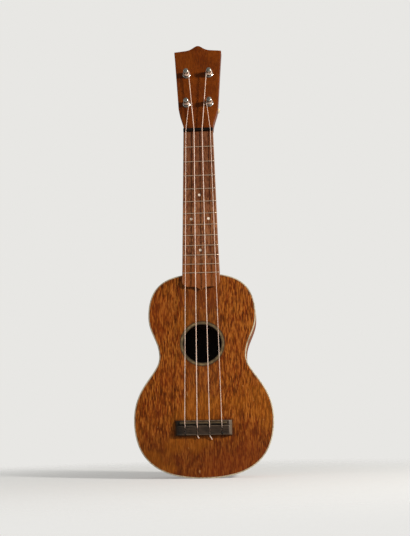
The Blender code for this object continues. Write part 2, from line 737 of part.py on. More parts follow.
def least_gap(points, diameter):
    """The smallest clear space between points of the coil that are at least half a turn apart."""
    apart = WINDING_POINTS // 2
    nearest = min(
        (points[i] - points[j]).length for i in range(len(points)) for j in range(i + apart, len(points))
    )
    return nearest - diameter


def tube(name, points, diameter, stuff, resolution):
    """A round cord along these points, with flat closed ends."""
    data = bpy.data.curves.new(name, "CURVE")
    data.dimensions = "3D"
    data.bevel_depth = diameter / 2
    data.bevel_resolution = resolution
    data.use_fill_caps = True
    spline = data.splines.new("POLY")
    spline.points.add(len(points) - 1)
    for target, point in zip(spline.points, points):
        target.co = (*point, 1.0)
    data.materials.append(stuff)
    made = bpy.data.objects.new(name, data)
    bpy.context.scene.collection.objects.link(made)
    return made


def string(index, bridge_rear):
    """One string: out of its bridge slot, over saddle and nut, and up to the first turn on its post."""
    diameter = STRING_DIAMETERS[index]
    radius = diameter / 2
    side, row = PEGS[index]
    x_bridge = string_x(index, False)
    x_nut = string_x(index, True)
    rest = STRING_SLOT_FLOOR + GAP + radius
    points = []
    if TAIL_ENDS[index]:
        reach = TAIL_ENDS[index]
        low = max(rest - reach * 0.6, radius + 2 * GAP)
        points.append(plan(x_bridge + reach * 0.5, -low, bridge_rear - 0.5 * MM - reach))
        points.append(plan(x_bridge, -rest, bridge_rear - 0.5 * MM))
    points.append(plan(x_bridge, -rest, bridge_rear + 2.5 * MM))
    points.append(plan(x_bridge, -rest - 0.5 * MM, bridge_rear + BLOCK_WIDTH * 0.6))
    saddle_top = SADDLE_HEIGHT + GAP + radius
    points.append(plan(x_bridge, -saddle_top, SADDLE_Z - SADDLE_THICKNESS / 4))
    points.append(plan(x_bridge, -saddle_top, SADDLE_Z + SADDLE_THICKNESS / 4))
    nut_height = NUT_SLOT_FLOOR + GAP + radius
    points.append(plan(x_nut, -nut_height, NUT_Z + 0.5 * MM))
    points.append(plan(x_nut, -nut_height, NUT_Z + 2.5 * MM))
    around = winding_radius(diameter)
    clear = math.sqrt((around + diameter + GAP) ** 2 - around ** 2)
    last_s = PEG_LOWER_S + row * PEG_SPACING - clear - radius
    points.append(head_matrix() @ Vector((side * (PEG_X - around), last_s, WINDING_TOP)))
    tube(f"string_{index + 1}", points, diameter, gut(), 2)


def button_mesh():
    """An oval paddle on a round stem, bored for the post in front and for the screw behind."""
    front = -HEAD_THICKNESS - GAP
    stem, wide, thin = BUTTON_STEM_RADIUS, BUTTON_HALF_WIDTH, BUTTON_HALF_THICKNESS
    stations = (
        (0.0, stem, stem), (0.1, stem * 0.94, stem * 0.94), (0.22, stem, thin), (0.36, wide * 0.84, thin),
        (0.52, wide, thin), (0.72, wide * 0.95, thin * 0.97), (0.9, wide * 0.74, thin * 0.86),
        (1.0, wide * 0.46, thin * 0.7),
    )
    count = 20
    rings = []
    for share, across, thick in stations:
        height = front - BUTTON_LENGTH * share
        angles = [2 * math.pi * i / count for i in range(count)]
        rings.append([Vector((across * math.cos(a), thick * math.sin(a), height)) for a in angles])
    return loft(rings)


def pegs():
    """Four friction pegs, each on an empty at its axis: post, button, screw and the string's turns."""
    for index, (side, row) in enumerate(PEGS):
        number = index + 1
        diameter = STRING_DIAMETERS[index]
        axis = bpy.data.objects.new(f"peg_{number}_axis", None)
        axis.matrix_world = head_matrix(side * PEG_X, PEG_LOWER_S + row * PEG_SPACING)
        bpy.context.scene.collection.objects.link(axis)
        ferrule = turned(
            f"peg_ferrule_{number}",
            ((POST_RADIUS + GAP, GAP), (FERRULE_RADIUS, GAP), (FERRULE_RADIUS, GAP + FERRULE_HEIGHT * 0.3),
             (FERRULE_RADIUS * 0.86, FERRULE_HEIGHT * 0.85), (FERRULE_RADIUS * 0.78, FERRULE_HEIGHT),
             (POST_RADIUS + GAP, FERRULE_HEIGHT)),
            nickel(), hollow=True,
        )
        ferrule.matrix_world = axis.matrix_world
        back = -HEAD_THICKNESS - GAP
        post = turned(
            f"peg_post_{number}",
            ((POST_RADIUS, back - POST_TAIL), (POST_RADIUS, FERRULE_HEIGHT),
             (POST_WAIST_RADIUS, FERRULE_HEIGHT + GAP), (POST_WAIST_RADIUS, WINDING_TOP + diameter),
             (POST_TIP_RADIUS, WINDING_TOP + diameter + 1.2 * MM),
             (POST_TIP_RADIUS, POST_HEIGHT - 0.9 * MM), (POST_TIP_RADIUS * 0.7, POST_HEIGHT)),
            nickel(),
        )
        button = add_mesh(f"peg_button_{number}", button_mesh(), ivoroid(), math.radians(50))
        bore = turned(
            f"button_bore_{number}",
            ((POST_RADIUS + GAP, back - POST_TAIL - GAP), (POST_RADIUS + GAP, back + MM)), nickel(),
        )
        far = back - BUTTON_LENGTH
        screw_hole = turned(
            f"screw_hole_{number}",
            ((SCREW_RADIUS + GAP, far - MM), (SCREW_RADIUS + GAP, far + SCREW_LENGTH + GAP)), nickel(), 12,
        )
        cut(button, bore)
        cut(button, screw_hole)
        screw = turned(
            f"peg_screw_{number}",
            ((SCREW_HEAD_RADIUS * 0.6, far - GAP - SCREW_HEAD_HEIGHT),
             (SCREW_HEAD_RADIUS, far - GAP - SCREW_HEAD_HEIGHT * 0.4),
             (SCREW_HEAD_RADIUS, far - GAP), (SCREW_RADIUS, far - GAP), (SCREW_RADIUS, far + SCREW_LENGTH)),
            nickel(), 14,
        )
        points = winding_points(index)
        print(f"peg_winding_{number}: least gap between turns {least_gap(points, diameter) / MM:.2f} mm")
        winding = tube(f"peg_winding_{number}", points, diameter, gut(), 1)
        for piece in (post, button, screw, winding, bore, screw_hole):
            piece.parent = axis
            if piece in (button, bore, screw_hole):
                piece.rotation_euler = (0, 0, BUTTON_TURNS[index])


def build():
    clear_scene()
    soundboard()
    soundhole_ring()
    box_of_the_body()
    blocks()
    braces()
    neck()
    fretboard()
    nut()
    rear = bridge()
    for index in range(len(STRING_DIAMETERS)):
        string(index, rear)
    pegs()


build()
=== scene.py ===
"""The finished soprano ukulele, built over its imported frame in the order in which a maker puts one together."""

import json
import math

import bpy
import numpy as np
from mathutils import Matrix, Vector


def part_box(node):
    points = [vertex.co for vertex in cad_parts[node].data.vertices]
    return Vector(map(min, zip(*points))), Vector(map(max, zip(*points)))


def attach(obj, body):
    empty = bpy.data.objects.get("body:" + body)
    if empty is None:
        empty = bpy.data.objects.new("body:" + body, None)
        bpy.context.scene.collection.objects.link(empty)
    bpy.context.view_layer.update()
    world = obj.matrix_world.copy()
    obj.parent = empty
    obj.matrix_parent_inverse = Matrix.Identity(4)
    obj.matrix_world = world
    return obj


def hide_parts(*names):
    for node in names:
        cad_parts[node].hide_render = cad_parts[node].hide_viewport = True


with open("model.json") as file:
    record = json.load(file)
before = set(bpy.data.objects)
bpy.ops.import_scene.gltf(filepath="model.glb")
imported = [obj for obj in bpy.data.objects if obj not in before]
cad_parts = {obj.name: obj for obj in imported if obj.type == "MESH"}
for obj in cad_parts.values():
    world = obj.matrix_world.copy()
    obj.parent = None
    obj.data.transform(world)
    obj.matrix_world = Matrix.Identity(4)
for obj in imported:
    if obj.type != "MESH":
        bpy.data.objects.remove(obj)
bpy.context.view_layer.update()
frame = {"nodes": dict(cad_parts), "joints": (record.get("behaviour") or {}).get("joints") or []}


# The plan of the body: the line round which soundboard, sides, back and binding are all bent.
# It is drawn once on the mould as four curves from tail to neck, and mirrored.
# Heights run up from the tail, depths run back from the soundboard's face.
MM = 0.001
FACE_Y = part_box("soundboard")[0][1]
BODY_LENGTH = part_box("back_plate")[1][2]
BODY_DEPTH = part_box("back_plate")[1][1] - FACE_Y
LOWER_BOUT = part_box("back_plate")[1][0]
MOULD_POINTS = 60
MOULD = np.array((
    ((0, 0), (32.4, 0), (LOWER_BOUT / MM, 6.7), (LOWER_BOUT / MM, 66.7)),
    ((LOWER_BOUT / MM, 66.7), (LOWER_BOUT / MM, 106.7), (50.7, 119.1), (50.7, 139.4)),
    ((50.7, 139.4), (50.7, 158.0), (63.1, 167.1), (63.1, 186.5)),
    ((63.1, 186.5), (63.1, 232.5), (30.0, BODY_LENGTH / MM), (0, BODY_LENGTH / MM)),
)) * MM


def half_mould(inset=0.0):
    """The right half of the plan, tail to neck: Bezier curves, each point moved inwards along its normal by inset."""
    t = np.linspace(0, 1, MOULD_POINTS + 1)[:-1, None]
    a, b, c, d = (MOULD[:, None, i] for i in range(4))
    line = (1 - t) ** 3 * a + 3 * (1 - t) ** 2 * t * b + 3 * (1 - t) * t ** 2 * c + t ** 3 * d
    slope = (1 - t) ** 2 * (b - a) + 2 * (1 - t) * t * (c - b) + t ** 2 * (d - c)
    slope /= np.linalg.norm(slope, axis=-1, keepdims=True)
    inward = np.stack([-slope[..., 1], slope[..., 0]], axis=-1)
    points = (line + inward * inset).reshape(-1, 2)
    return np.vstack([points, [0, BODY_LENGTH - inset]])


def mould(inset=0.0):
    """The whole plan as one closed line: the right half up, its mirror down."""
    half = half_mould(inset)
    return np.vstack([half, half[-2:0:-1] * (-1, 1)])


def plan(across, depth, height):
    """Points of the instrument from arrays of across, depth behind the face, and height above the tail."""
    across, depth, height = np.broadcast_arrays(across, depth, height)
    return np.stack([across, FACE_Y + depth, height], axis=-1)


def solid(name, rings, finish, replaces=(), body="instrument", wrap=False, sharp=40, grain=None):
    """A closed skin over an array of rings: quads between neighbours, and a fan over each end unless it wraps round.
    The enclosed volume, summed as tetrahedra to the origin, says which way the faces turn."""
    rings = np.asarray(rings, dtype=float)
    count, around = rings.shape[:2]
    verts = rings.reshape(-1, 3)
    row = np.arange(count if wrap else count - 1)[:, None] * around
    step = np.arange(around)[None, :]
    ahead = (step + 1) % around
    above = (row + around) % (count * around)
    quads = np.stack([row + step, row + ahead, above + ahead, above + step], axis=-1).reshape(-1, 4)
    tris = np.empty((0, 3), dtype=int)
    if not wrap:
        verts = np.vstack([verts, rings[0].mean(axis=0), rings[-1].mean(axis=0)])
        here, after = np.arange(around), (np.arange(around) + 1) % around
        low, high = np.full(around, len(verts) - 2), np.full(around, len(verts) - 1)
        top = (count - 1) * around
        tris = np.vstack([np.stack([low, after, here], -1), np.stack([high, top + here, top + after], -1)])
    flat = np.vstack([quads[:, [0, 1, 2]], quads[:, [0, 2, 3]], tris])
    a, b, c = (verts[flat[:, i]] for i in range(3))
    if np.einsum("ij,ij->", a, np.cross(b, c)) < 0:
        quads, tris = quads[:, ::-1], tris[:, ::-1]
    mesh = bpy.data.meshes.new(name)
    mesh.from_pydata(verts.tolist(), [], quads.tolist() + tris.tolist())
    if grain is not None:
        layer = mesh.attributes.new("grain", "FLOAT_VECTOR", "POINT")
        values = np.zeros((len(verts), 3))
        values[:count * around] = np.asarray(grain).reshape(-1, 3)
        layer.data.foreach_set("vector", values.ravel())
    mesh.shade_smooth()
    mesh.set_sharp_from_angle(angle=math.radians(sharp))
    mesh.materials.append(finish)
    made = bpy.data.objects.new(name, mesh)
    bpy.context.scene.collection.objects.link(made)
    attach(made, body)
    if replaces:
        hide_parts(*replaces)
    return made


# The wood of the box: one board of straight-grained koa for the soundboard, its fellow for the back, thin
# strips for the sides. It is stained by age, finely pored, streaked along the grain and varnished thin.
def srgb(red, green, blue):
    """A colour named as on a screen, 0 to 255, turned into linear light."""
    values = np.array((red, green, blue)) / 255
    linear = np.where(values <= 0.04045, values / 12.92, ((values + 0.055) / 1.055) ** 2.4)
    return (*(float(v) for v in linear), 1.0)


def new_finish(name, roughness, metallic=0.0, specular=0.5):
    """A fresh material with its tree and its shader."""
    finish = bpy.data.materials.new(name)
    finish.use_nodes = True
    shader = finish.node_tree.nodes["Principled BSDF"]
    shader.inputs["Roughness"].default_value = roughness
    shader.inputs["Metallic"].default_value = metallic
    shader.inputs["Specular IOR Level"].default_value = specular
    return finish, finish.node_tree, shader


def feed(tree, socket, value):
    """Links an output to a socket, or sets the socket's own value."""
    if isinstance(value, bpy.types.NodeSocket):
        tree.links.new(value, socket)
    else:
        socket.default_value = value


def sums(tree, operation, *values):
    """One step of arithmetic on numbers or outputs."""
    made = tree.nodes.new("ShaderNodeMath")
    made.operation = operation
    for socket, value in zip(made.inputs, values):
        feed(tree, socket, value)
    return made.outputs[0]


def between(tree, value, low, high):
    """A smooth step: 0 below low and 1 above high, or the other way where low is the greater."""
    made = tree.nodes.new("ShaderNodeMapRange")
    made.interpolation_type = "SMOOTHSTEP"
    feed(tree, made.inputs["Value"], value)
    turned = low > high
    made.inputs["From Min"].default_value = min(low, high)
    made.inputs["From Max"].default_value = max(low, high)
    made.inputs["To Min"].default_value = 1.0 if turned else 0.0
    made.inputs["To Max"].default_value = 0.0 if turned else 1.0
    return made.outputs["Result"]


def tint(tree, amount, under, over, way="MIX"):
    """Lays one colour over another by an amount."""
    made = tree.nodes.new("ShaderNodeMix")
    made.data_type = "RGBA"
    made.blend_type = way
    feed(tree, made.inputs[0], amount)
    feed(tree, made.inputs[6], under)
    feed(tree, made.inputs[7], over)
    return made.outputs[2]


def cloud(tree, where, size, stretch=(1, 1, 1), detail=3.0, rough=0.55):
    """Noise with grains of about this size, drawn out along an axis whose stretch is below 1."""
    placed = tree.nodes.new("ShaderNodeMapping")
    feed(tree, placed.inputs["Vector"], where)
    placed.inputs["Scale"].default_value = stretch
    made = tree.nodes.new("ShaderNodeTexNoise")
    tree.links.new(placed.outputs[0], made.inputs["Vector"])
    made.inputs["Scale"].default_value = 1 / size
    made.inputs["Detail"].default_value = detail
    made.inputs["Roughness"].default_value = rough
    return made.outputs[0]


def colours(tree, amount, *stops):
    """A colour ramp through (place, colour) stops."""
    made = tree.nodes.new("ShaderNodeValToRGB")
    feed(tree, made.inputs[0], amount)
    while len(made.color_ramp.elements) < len(stops):
        made.color_ramp.elements.new(0.5)
    for element, (place, colour) in zip(made.color_ramp.elements, stops):
        element.position = place
        element.color = colour
    return made.outputs[0]


def emboss(tree, shader, height, depth):
    """Raises the surface by a height map, depth in metres at its full value."""
    made = tree.nodes.new("ShaderNodeBump")
    made.inputs["Strength"].default_value = 1.0
    made.inputs["Distance"].default_value = depth
    feed(tree, made.inputs["Height"], height)
    tree.links.new(made.outputs[0], shader.inputs["Normal"])


def places(tree, source="Object"):
    """Where the surface is, in metres: the piece's own place, or its stored grain direction."""
    if source == "Object":
        return tree.nodes.new("ShaderNodeTexCoord").outputs["Object"]
    stored = tree.nodes.new("ShaderNodeAttribute")
    stored.attribute_name = source
    return stored.outputs["Vector"]


def koa(name, dark, middle, light, source="Object", gloss=0.42, coarse=1.0, line=0.085, fleck=0.5):
    """Wood whose grain runs along Z: broad bands, long streaks, short dark flecks and open pores, each a noise
    drawn out by line. The flecks are short, because the board's surface cuts its fibres at a slant."""
    finish, tree, shader = new_finish(name, gloss, specular=0.12)
    where = places(tree, source)
    bands = cloud(tree, where, 18 * MM * coarse, (1, 1, line * 2), 2.0)
    streaks = cloud(tree, where, 1.0 * MM * coarse, (1, 1, line * 1.6), 1.0, 0.5)
    ripple = cloud(tree, where, 9 * MM, (1, 1, 0.3), 3.0)
    tone = sums(tree, "MULTIPLY_ADD", streaks, 0.84, sums(tree, "MULTIPLY", bands, 0.1))
    tone = sums(tree, "MULTIPLY_ADD", ripple, 0.06, tone)
    wood = colours(tree, tone, (0.4, dark), (0.49, middle), (0.6, light))
    threads = cloud(tree, where, 1.2 * MM * coarse, (1, 1, line * 1.2), 1.0, 0.5)
    red = sums(tree, "MULTIPLY", between(tree, threads, 0.53, 0.66), 0.5)
    wood = tint(tree, red, wood, tuple(v * s for v, s in zip(middle, (0.8, 0.42, 0.4, 1.0))))
    green = sums(tree, "MULTIPLY", between(tree, threads, 0.47, 0.34), 0.45)
    wood = tint(tree, green, wood, tuple(v * s for v, s in zip(middle, (0.95, 1.2, 0.9, 1.0))))
    slants = cloud(tree, where, 0.9 * MM * coarse, (1, 1, line * 1.4), 2.0, 0.5)
    flecks = sums(tree, "MULTIPLY", between(tree, slants, 0.52, 0.64), fleck)
    wood = tint(tree, flecks, wood, dark)
    fine = cloud(tree, where, 0.6 * MM * coarse, (1, 1, line * 1.5), 3.0, 0.7)
    pores = between(tree, fine, 0.5, 0.66)
    wood = tint(tree, sums(tree, "MULTIPLY", pores, 0.4), wood, tuple(v * 0.45 for v in dark[:3]) + (1.0,))
    feed(tree, shader.inputs["Base Color"], wood)
    feed(tree, shader.inputs["Roughness"], sums(tree, "MULTIPLY_ADD", pores, 0.22, gloss - 0.04))
    emboss(tree, shader, sums(tree, "MULTIPLY", pores, -1.0), 0.03 * MM)
    return finish, tree, shader, wood, where


# The soundboard, a 1.8 mm board with a round hole, let in behind the binding.
# Its top is worn dull and grey under the strings, where nails brush it, and darker towards the tail in a painted shade.
HOLE_Z = (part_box("soundhole_ring")[0][2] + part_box("soundhole_ring")[1][2]) / 2
HOLE_RADIUS = 22.3 * MM
RING_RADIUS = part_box("soundhole_ring")[1][0]
TOP_THICKNESS = 1.8 * MM
BINDING_WIDTH = 1.3 * MM
BRIDGE_LOW, BRIDGE_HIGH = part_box("bridge")


def worn_top():
    """Koa with a brushed stripe between tongue and bridge, dirt round the ring, a painted shade towards the tail, a
    painted shadow round the bridge and a few pale nicks.
    """
    finish, tree, shader, wood, where = koa(
        "soundboard_koa", srgb(78, 32, 2), srgb(134, 64, 10), srgb(176, 102, 36),
    )
    split = tree.nodes.new("ShaderNodeSeparateXYZ")
    tree.links.new(where, split.inputs[0])
    ragged = sums(tree, "MULTIPLY_ADD", cloud(tree, where, 14 * MM, (1, 1, 0.3), 3.0), 16 * MM, -8 * MM)
    aside = sums(tree, "ADD", sums(tree, "ABSOLUTE", split.outputs[0]), ragged)
    stripe = between(tree, aside, 27 * MM, 14 * MM)
    above_bridge = between(tree, split.outputs[2], 62 * MM, 110 * MM)
    worn = sums(tree, "MULTIPLY", sums(tree, "MULTIPLY", stripe, above_bridge), 0.3)
    wood = tint(tree, worn, wood, srgb(116, 64, 26))
    gap = between(tree, split.outputs[2], 168 * MM, 190 * MM)
    grime = sums(tree, "MULTIPLY", sums(tree, "MULTIPLY", stripe, gap), 0.28)
    wood = tint(tree, grime, wood, srgb(80, 44, 20))
    # Darker towards the tail: a painted shade, for the light falling off down the body.
    low = sums(tree, "MULTIPLY", between(tree, split.outputs[2], 82 * MM, 24 * MM), 0.55)
    wood = tint(tree, low, wood, srgb(76, 30, 3))
    drift = cloud(tree, where, 60 * MM, detail=2.0)
    red = sums(tree, "MULTIPLY", between(tree, drift, 0.5, 0.66), 0.24)
    wood = tint(tree, red, wood, srgb(132, 52, 12))
    golden = sums(tree, "MULTIPLY", between(tree, drift, 0.48, 0.38), 0.3)
    wood = tint(tree, golden, wood, srgb(156, 88, 14))
    nicks = cloud(tree, where, 3.4 * MM, (1, 1, 0.6), 2.0, 0.4)
    nick = sums(tree, "MULTIPLY", between(tree, nicks, 0.765, 0.785), 0.45)
    wood = tint(tree, nick, wood, srgb(196, 146, 92))
    from_hole = distance(tree, where, HOLE_Z)
    # A dark band just round the bridge: a painted shadow of the bridge on the soundboard.
    aside = sums(tree, "SUBTRACT", sums(tree, "ABSOLUTE", split.outputs[0]), BRIDGE_HIGH[0])
    middle_z = (BRIDGE_LOW[2] + BRIDGE_HIGH[2]) / 2
    above = sums(tree, "ABSOLUTE", sums(tree, "SUBTRACT", split.outputs[2], middle_z))
    above = sums(tree, "SUBTRACT", above, BRIDGE_HIGH[2] - middle_z)
    off = sums(tree, "MAXIMUM", aside, sums(tree, "MULTIPLY", above, 1.6))
    wood = tint(tree, sums(tree, "MULTIPLY", between(tree, off, 3.6 * MM, 0.2 * MM), 0.6), wood, srgb(44, 22, 8))
    rim_dirt = sums(tree, "MULTIPLY", between(tree, from_hole, RING_RADIUS + 2.2 * MM, RING_RADIUS + 0.4 * MM), 0.4)
    wood = tint(tree, rim_dirt, wood, srgb(64, 36, 16))
    feed(tree, shader.inputs["Base Color"], wood)
    return finish


def distance(tree, where, height):
    """How far a place is, in the soundboard's plane, from the centre line at a height."""
    flat = tree.nodes.new("ShaderNodeVectorMath")
    flat.operation = "MULTIPLY_ADD"
    tree.links.new(where, flat.inputs[0])
    flat.inputs[1].default_value = (1, 0, 1)
    flat.inputs[2].default_value = (0, 0, -height)
    size = tree.nodes.new("ShaderNodeVectorMath")
    size.operation = "LENGTH"
    tree.links.new(flat.outputs[0], size.inputs[0])
    return size.outputs["Value"]


def ring_line(radius, outline):
    """A circle round the hole with one point on the ray to each point of an outline."""
    away = outline - (0, HOLE_Z)
    away = away / np.linalg.norm(away, axis=1, keepdims=True)
    return away * radius + (0, HOLE_Z)


def soundboard():
    """Rings from the hole's lip over the ring's seat, out across the face by blending circle into outline, and back."""
    rim = mould(BINDING_WIDTH + 0.05 * MM)
    seat = RING_RADIUS + 0.05 * MM
    lip = ring_line(seat + 0.1 * MM, rim)
    rows = [(ring_line(HOLE_RADIUS, rim), TOP_THICKNESS), (ring_line(HOLE_RADIUS, rim), 0.9 * MM)]
    rows += [(ring_line(seat, rim), 0.9 * MM), (ring_line(seat, rim), 0.1 * MM), (lip, 0.0)]
    rows += [(lip + (rim - lip) * share, 0.0) for share in np.linspace(0.1, 0.98, 10)]
    rows += [(rim, 0.08 * MM), (rim, TOP_THICKNESS)]
    rows += [(rim + (ring_line(HOLE_RADIUS, rim) - rim) * share, TOP_THICKNESS) for share in (0.3, 0.6, 0.9)]
    rings = [plan(line[:, 0], depth, line[:, 1]) for line, depth in rows]
    solid("top_board", rings, worn_top(), ("soundboard",), wrap=True, sharp=30)


soundboard()


# The inlaid ring round the soundhole: thin rings of pale and black fibre, glued into a shallow seat.
# Age has yellowed its pale lines, and it stands flush with the wood.
def ring_fibre():
    """A broad pale line between two dark ones, its inner edge rubbed dark, found from the distance to the centre."""
    finish, tree, shader = new_finish("ring_fibre", 0.4)
    where = places(tree)
    beyond = sums(tree, "SUBTRACT", distance(tree, where, HOLE_Z), HOLE_RADIUS)
    across = sums(tree, "DIVIDE", beyond, RING_RADIUS - HOLE_RADIUS)
    grime = cloud(tree, where, 5 * MM, detail=4.0)
    pale = colours(tree, grime, (0.35, srgb(78, 62, 36)), (0.7, srgb(132, 108, 70)))
    inner, outer = between(tree, across, 0.34, 0.2), between(tree, across, 0.78, 0.84)
    lines = tint(tree, sums(tree, "MULTIPLY", sums(tree, "MAXIMUM", inner, outer), 0.8), pale, srgb(40, 28, 14))
    feed(tree, shader.inputs["Base Color"], lines)
    return finish


def soundhole_ring():
    """A flat ring with its four edges just eased, turned round the hole's centre."""
    turn = np.linspace(0, 2 * np.pi, 193)[:-1, None]
    ease = 0.12 * MM
    inner, outer = HOLE_RADIUS, RING_RADIUS
    radius = np.array((inner + ease, outer - ease, outer, outer, inner, inner))
    depth = np.array((0, 0, ease, 0.8 * MM, 0.8 * MM, ease))
    rings = plan(radius * np.cos(turn), depth, HOLE_Z + radius * np.sin(turn))
    solid("hole_inlay", rings, ring_fibre(), ("soundhole_ring",), wrap=True, sharp=30)


soundhole_ring()


# The sides: two strips of koa, steamed and bent round the mould, which meet at the tail and behind the neck.
# Their grain runs along the bend, so each carries its own grain direction.
SIDE_THICKNESS = 1.8 * MM
SIDE_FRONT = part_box("side_treble")[0][1] - FACE_Y - 0.25 * MM
SIDE_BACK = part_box("side_treble")[1][1] - FACE_Y + 0.25 * MM


def sides():
    """A thin upright section with eased edges, carried along the half plan, and mirrored for the other side."""
    outer, inner = half_mould(0.0), half_mould(SIDE_THICKNESS)
    seam = 0.03 * MM
    length = np.concatenate([[0], np.cumsum(np.linalg.norm(np.diff(outer, axis=0), axis=1))])
    levels = np.linspace(SIDE_FRONT, SIDE_BACK, 9)
    depth = np.concatenate([levels, levels[::-1]])
    inside = np.repeat([False, True], len(levels))
    line = np.where(inside[None, :, None], inner[:, None], outer[:, None])
    across = np.maximum(line[..., 0], seam)
    grain = np.stack(np.broadcast_arrays(depth[None, :], inside[None, :] * SIDE_THICKNESS, length[:, None]), -1)
    finish = koa("side_koa", srgb(80, 32, 3), srgb(130, 62, 13), srgb(166, 96, 38), "grain", 0.56)[0]
    for name, node, way in (("treble_side", "side_treble", 1), ("bass_side", "side_bass", -1)):
        rings = plan(across * way, depth, line[..., 1])
        solid(name, rings, finish, (node,), sharp=35, grain=grain * (way, 1, 1))


sides()


# The back: one flat board of koa, glued over the sides, its edge rounded off by years of handling.
def back():
    """Rings of the plan drawn in at both faces, so that the edge is a small round, then fans inwards."""
    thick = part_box("back_plate")[1][1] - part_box("back_plate")[0][1]
    near = BODY_DEPTH - thick
    middle = np.array((0, HOLE_Z))
    rows = [(mould(0.0), near), (mould(0.0), BODY_DEPTH - 0.9 * MM), (mould(0.12 * MM), BODY_DEPTH - 0.45 * MM)]
    rows += [(mould(0.42 * MM), BODY_DEPTH - 0.12 * MM), (mould(0.9 * MM), BODY_DEPTH)]
    rim = mould(0.9 * MM)
    rows += [(rim + (middle - rim) * share, BODY_DEPTH) for share in (0.15, 0.35, 0.6, 0.9)]
    rows = [(rim + (middle - rim) * share, near) for share in (0.9, 0.6, 0.35, 0.15)] + rows
    rings = [plan(line[:, 0], depth, line[:, 1]) for line, depth in rows]
    finish, tree, shader, wood, where = koa("back_koa", srgb(80, 32, 3), srgb(132, 64, 14), srgb(170, 98, 38))
    split = tree.nodes.new("ShaderNodeSeparateXYZ")
    tree.links.new(where, split.inputs[0])
    # The inner face is painted almost black: a painted shade for the dark inside of the box.
    inner_face = FACE_Y + near
    inside = between(tree, split.outputs[1], inner_face + 0.6 * MM, inner_face + 0.2 * MM)
    feed(tree, shader.inputs["Base Color"], tint(tree, sums(tree, "MULTIPLY", inside, 0.94), wood, srgb(22, 12, 6)))
    solid("back_board", rings, finish, ("back_plate",), sharp=35)


back()


# The binding: a cream celluloid strip let into the top's edge, rounded over, yellowed and grimy in places.
def celluloid(name, pale, deep, gloss=0.3):
    """Aged cream celluloid: a soft yellow drift with fine grime and a polished skin."""
    finish, tree, shader = new_finish(name, gloss)
    where = places(tree)
    drift = cloud(tree, where, 22 * MM, detail=3.0)
    grime = cloud(tree, where, 2.4 * MM, detail=5.0, rough=0.65)
    mixed = sums(tree, "MULTIPLY_ADD", grime, 0.5, sums(tree, "MULTIPLY", drift, 0.5))
    shade = colours(tree, mixed, (0.36, deep), (0.52, pale), (0.75, tuple(min(1.0, v * 1.15) for v in pale)))
    feed(tree, shader.inputs["Base Color"], shade)
    feed(tree, shader.inputs["Roughness"], sums(tree, "MULTIPLY_ADD", grime, 0.3, gloss - 0.12))
    shader.inputs["Subsurface Weight"].default_value = 0.12
    shader.inputs["Subsurface Radius"].default_value = (2 * MM, 1.4 * MM, 0.8 * MM)
    return finish


def binding():
    """A strip section, its outer corner a quarter round, carried round the whole plan."""
    low = SIDE_FRONT - 0.02 * MM
    ease = 0.7 * MM
    bend = np.linspace(0, np.pi / 2, 5)
    insets = [0.0] + list(ease * (1 - np.cos(bend))) + [BINDING_WIDTH, BINDING_WIDTH]
    depths = [low] + list(ease * (1 - np.sin(bend))) + [0.0, low]
    rings = [plan(mould(inset)[:, 0], depth, mould(inset)[:, 1]) for inset, depth in zip(insets, depths)]
    finish = celluloid("binding_celluloid", srgb(188, 172, 142), srgb(122, 100, 72), 0.34)
    solid("top_binding", rings, finish, ("binding",), wrap=True, sharp=45)


binding()


# Inside the box: the two end blocks, the linings, the braces and the patch that backs the bridge.
# They are bare, pale wood, never varnished, and seen only through the soundhole. Their colours are painted dark, a
# painted shade for the inside of the box.
def dress(finish, *names):
    """Gives CAD nodes that keep their own shape a finished surface."""
    for name in names:
        for held in frame["nodes"][name].material_slots:
            held.material = finish


bare_wood = koa("bare_wood", srgb(40, 26, 13), srgb(64, 44, 25), srgb(86, 62, 38), gloss=0.7)[0]
dress(bare_wood, "neck_block", "tail_block", "top_lining", "back_lining", "bridge_patch")
cross_wood = koa("brace_wood", srgb(42, 28, 15), srgb(68, 48, 29), srgb(90, 66, 42), gloss=0.7, line=1.0)[0]
dress(cross_wood, "top_brace_upper", "top_brace_lower", "back_brace_upper", "back_brace_lower")


# The neck: one piece of darker wood from the heel to the headstock, carved by hand and glued to the box.
# Its back is a soft D, which swells into the heel where it meets the shoulder of the body.
HEAD_ANGLE = math.radians(6.8)
NUT_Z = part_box("nut")[0][2]
HEAD_Z = 4.0 * MM + NUT_Z
SCALE_LENGTH = 346.0 * MM
NUT_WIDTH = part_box("nut")[1][0] * 2
TWELFTH_WIDTH = 44.0 * MM
HEEL_LENGTH = 42.0 * MM
HEEL_FOOT = 7.0 * MM
HEEL_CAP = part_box("neck")[1][1] - FACE_Y
NECK_WOOD = (srgb(62, 22, 2), srgb(106, 44, 5), srgb(130, 62, 14))


def board_width(height):
    """The board's and neck's width: straight from the nut through the twelfth fret."""
    return NUT_WIDTH + (TWELFTH_WIDTH - NUT_WIDTH) * (NUT_Z - height) / (SCALE_LENGTH / 2)


def shoulder(across):
    """The height of the body's upper edge at this distance from the centre line."""
    half = half_mould(0.0)
    upper = half[half[:, 1] > BODY_LENGTH * 0.8]
    return np.interp(np.abs(across), upper[::-1, 0], upper[::-1, 1])


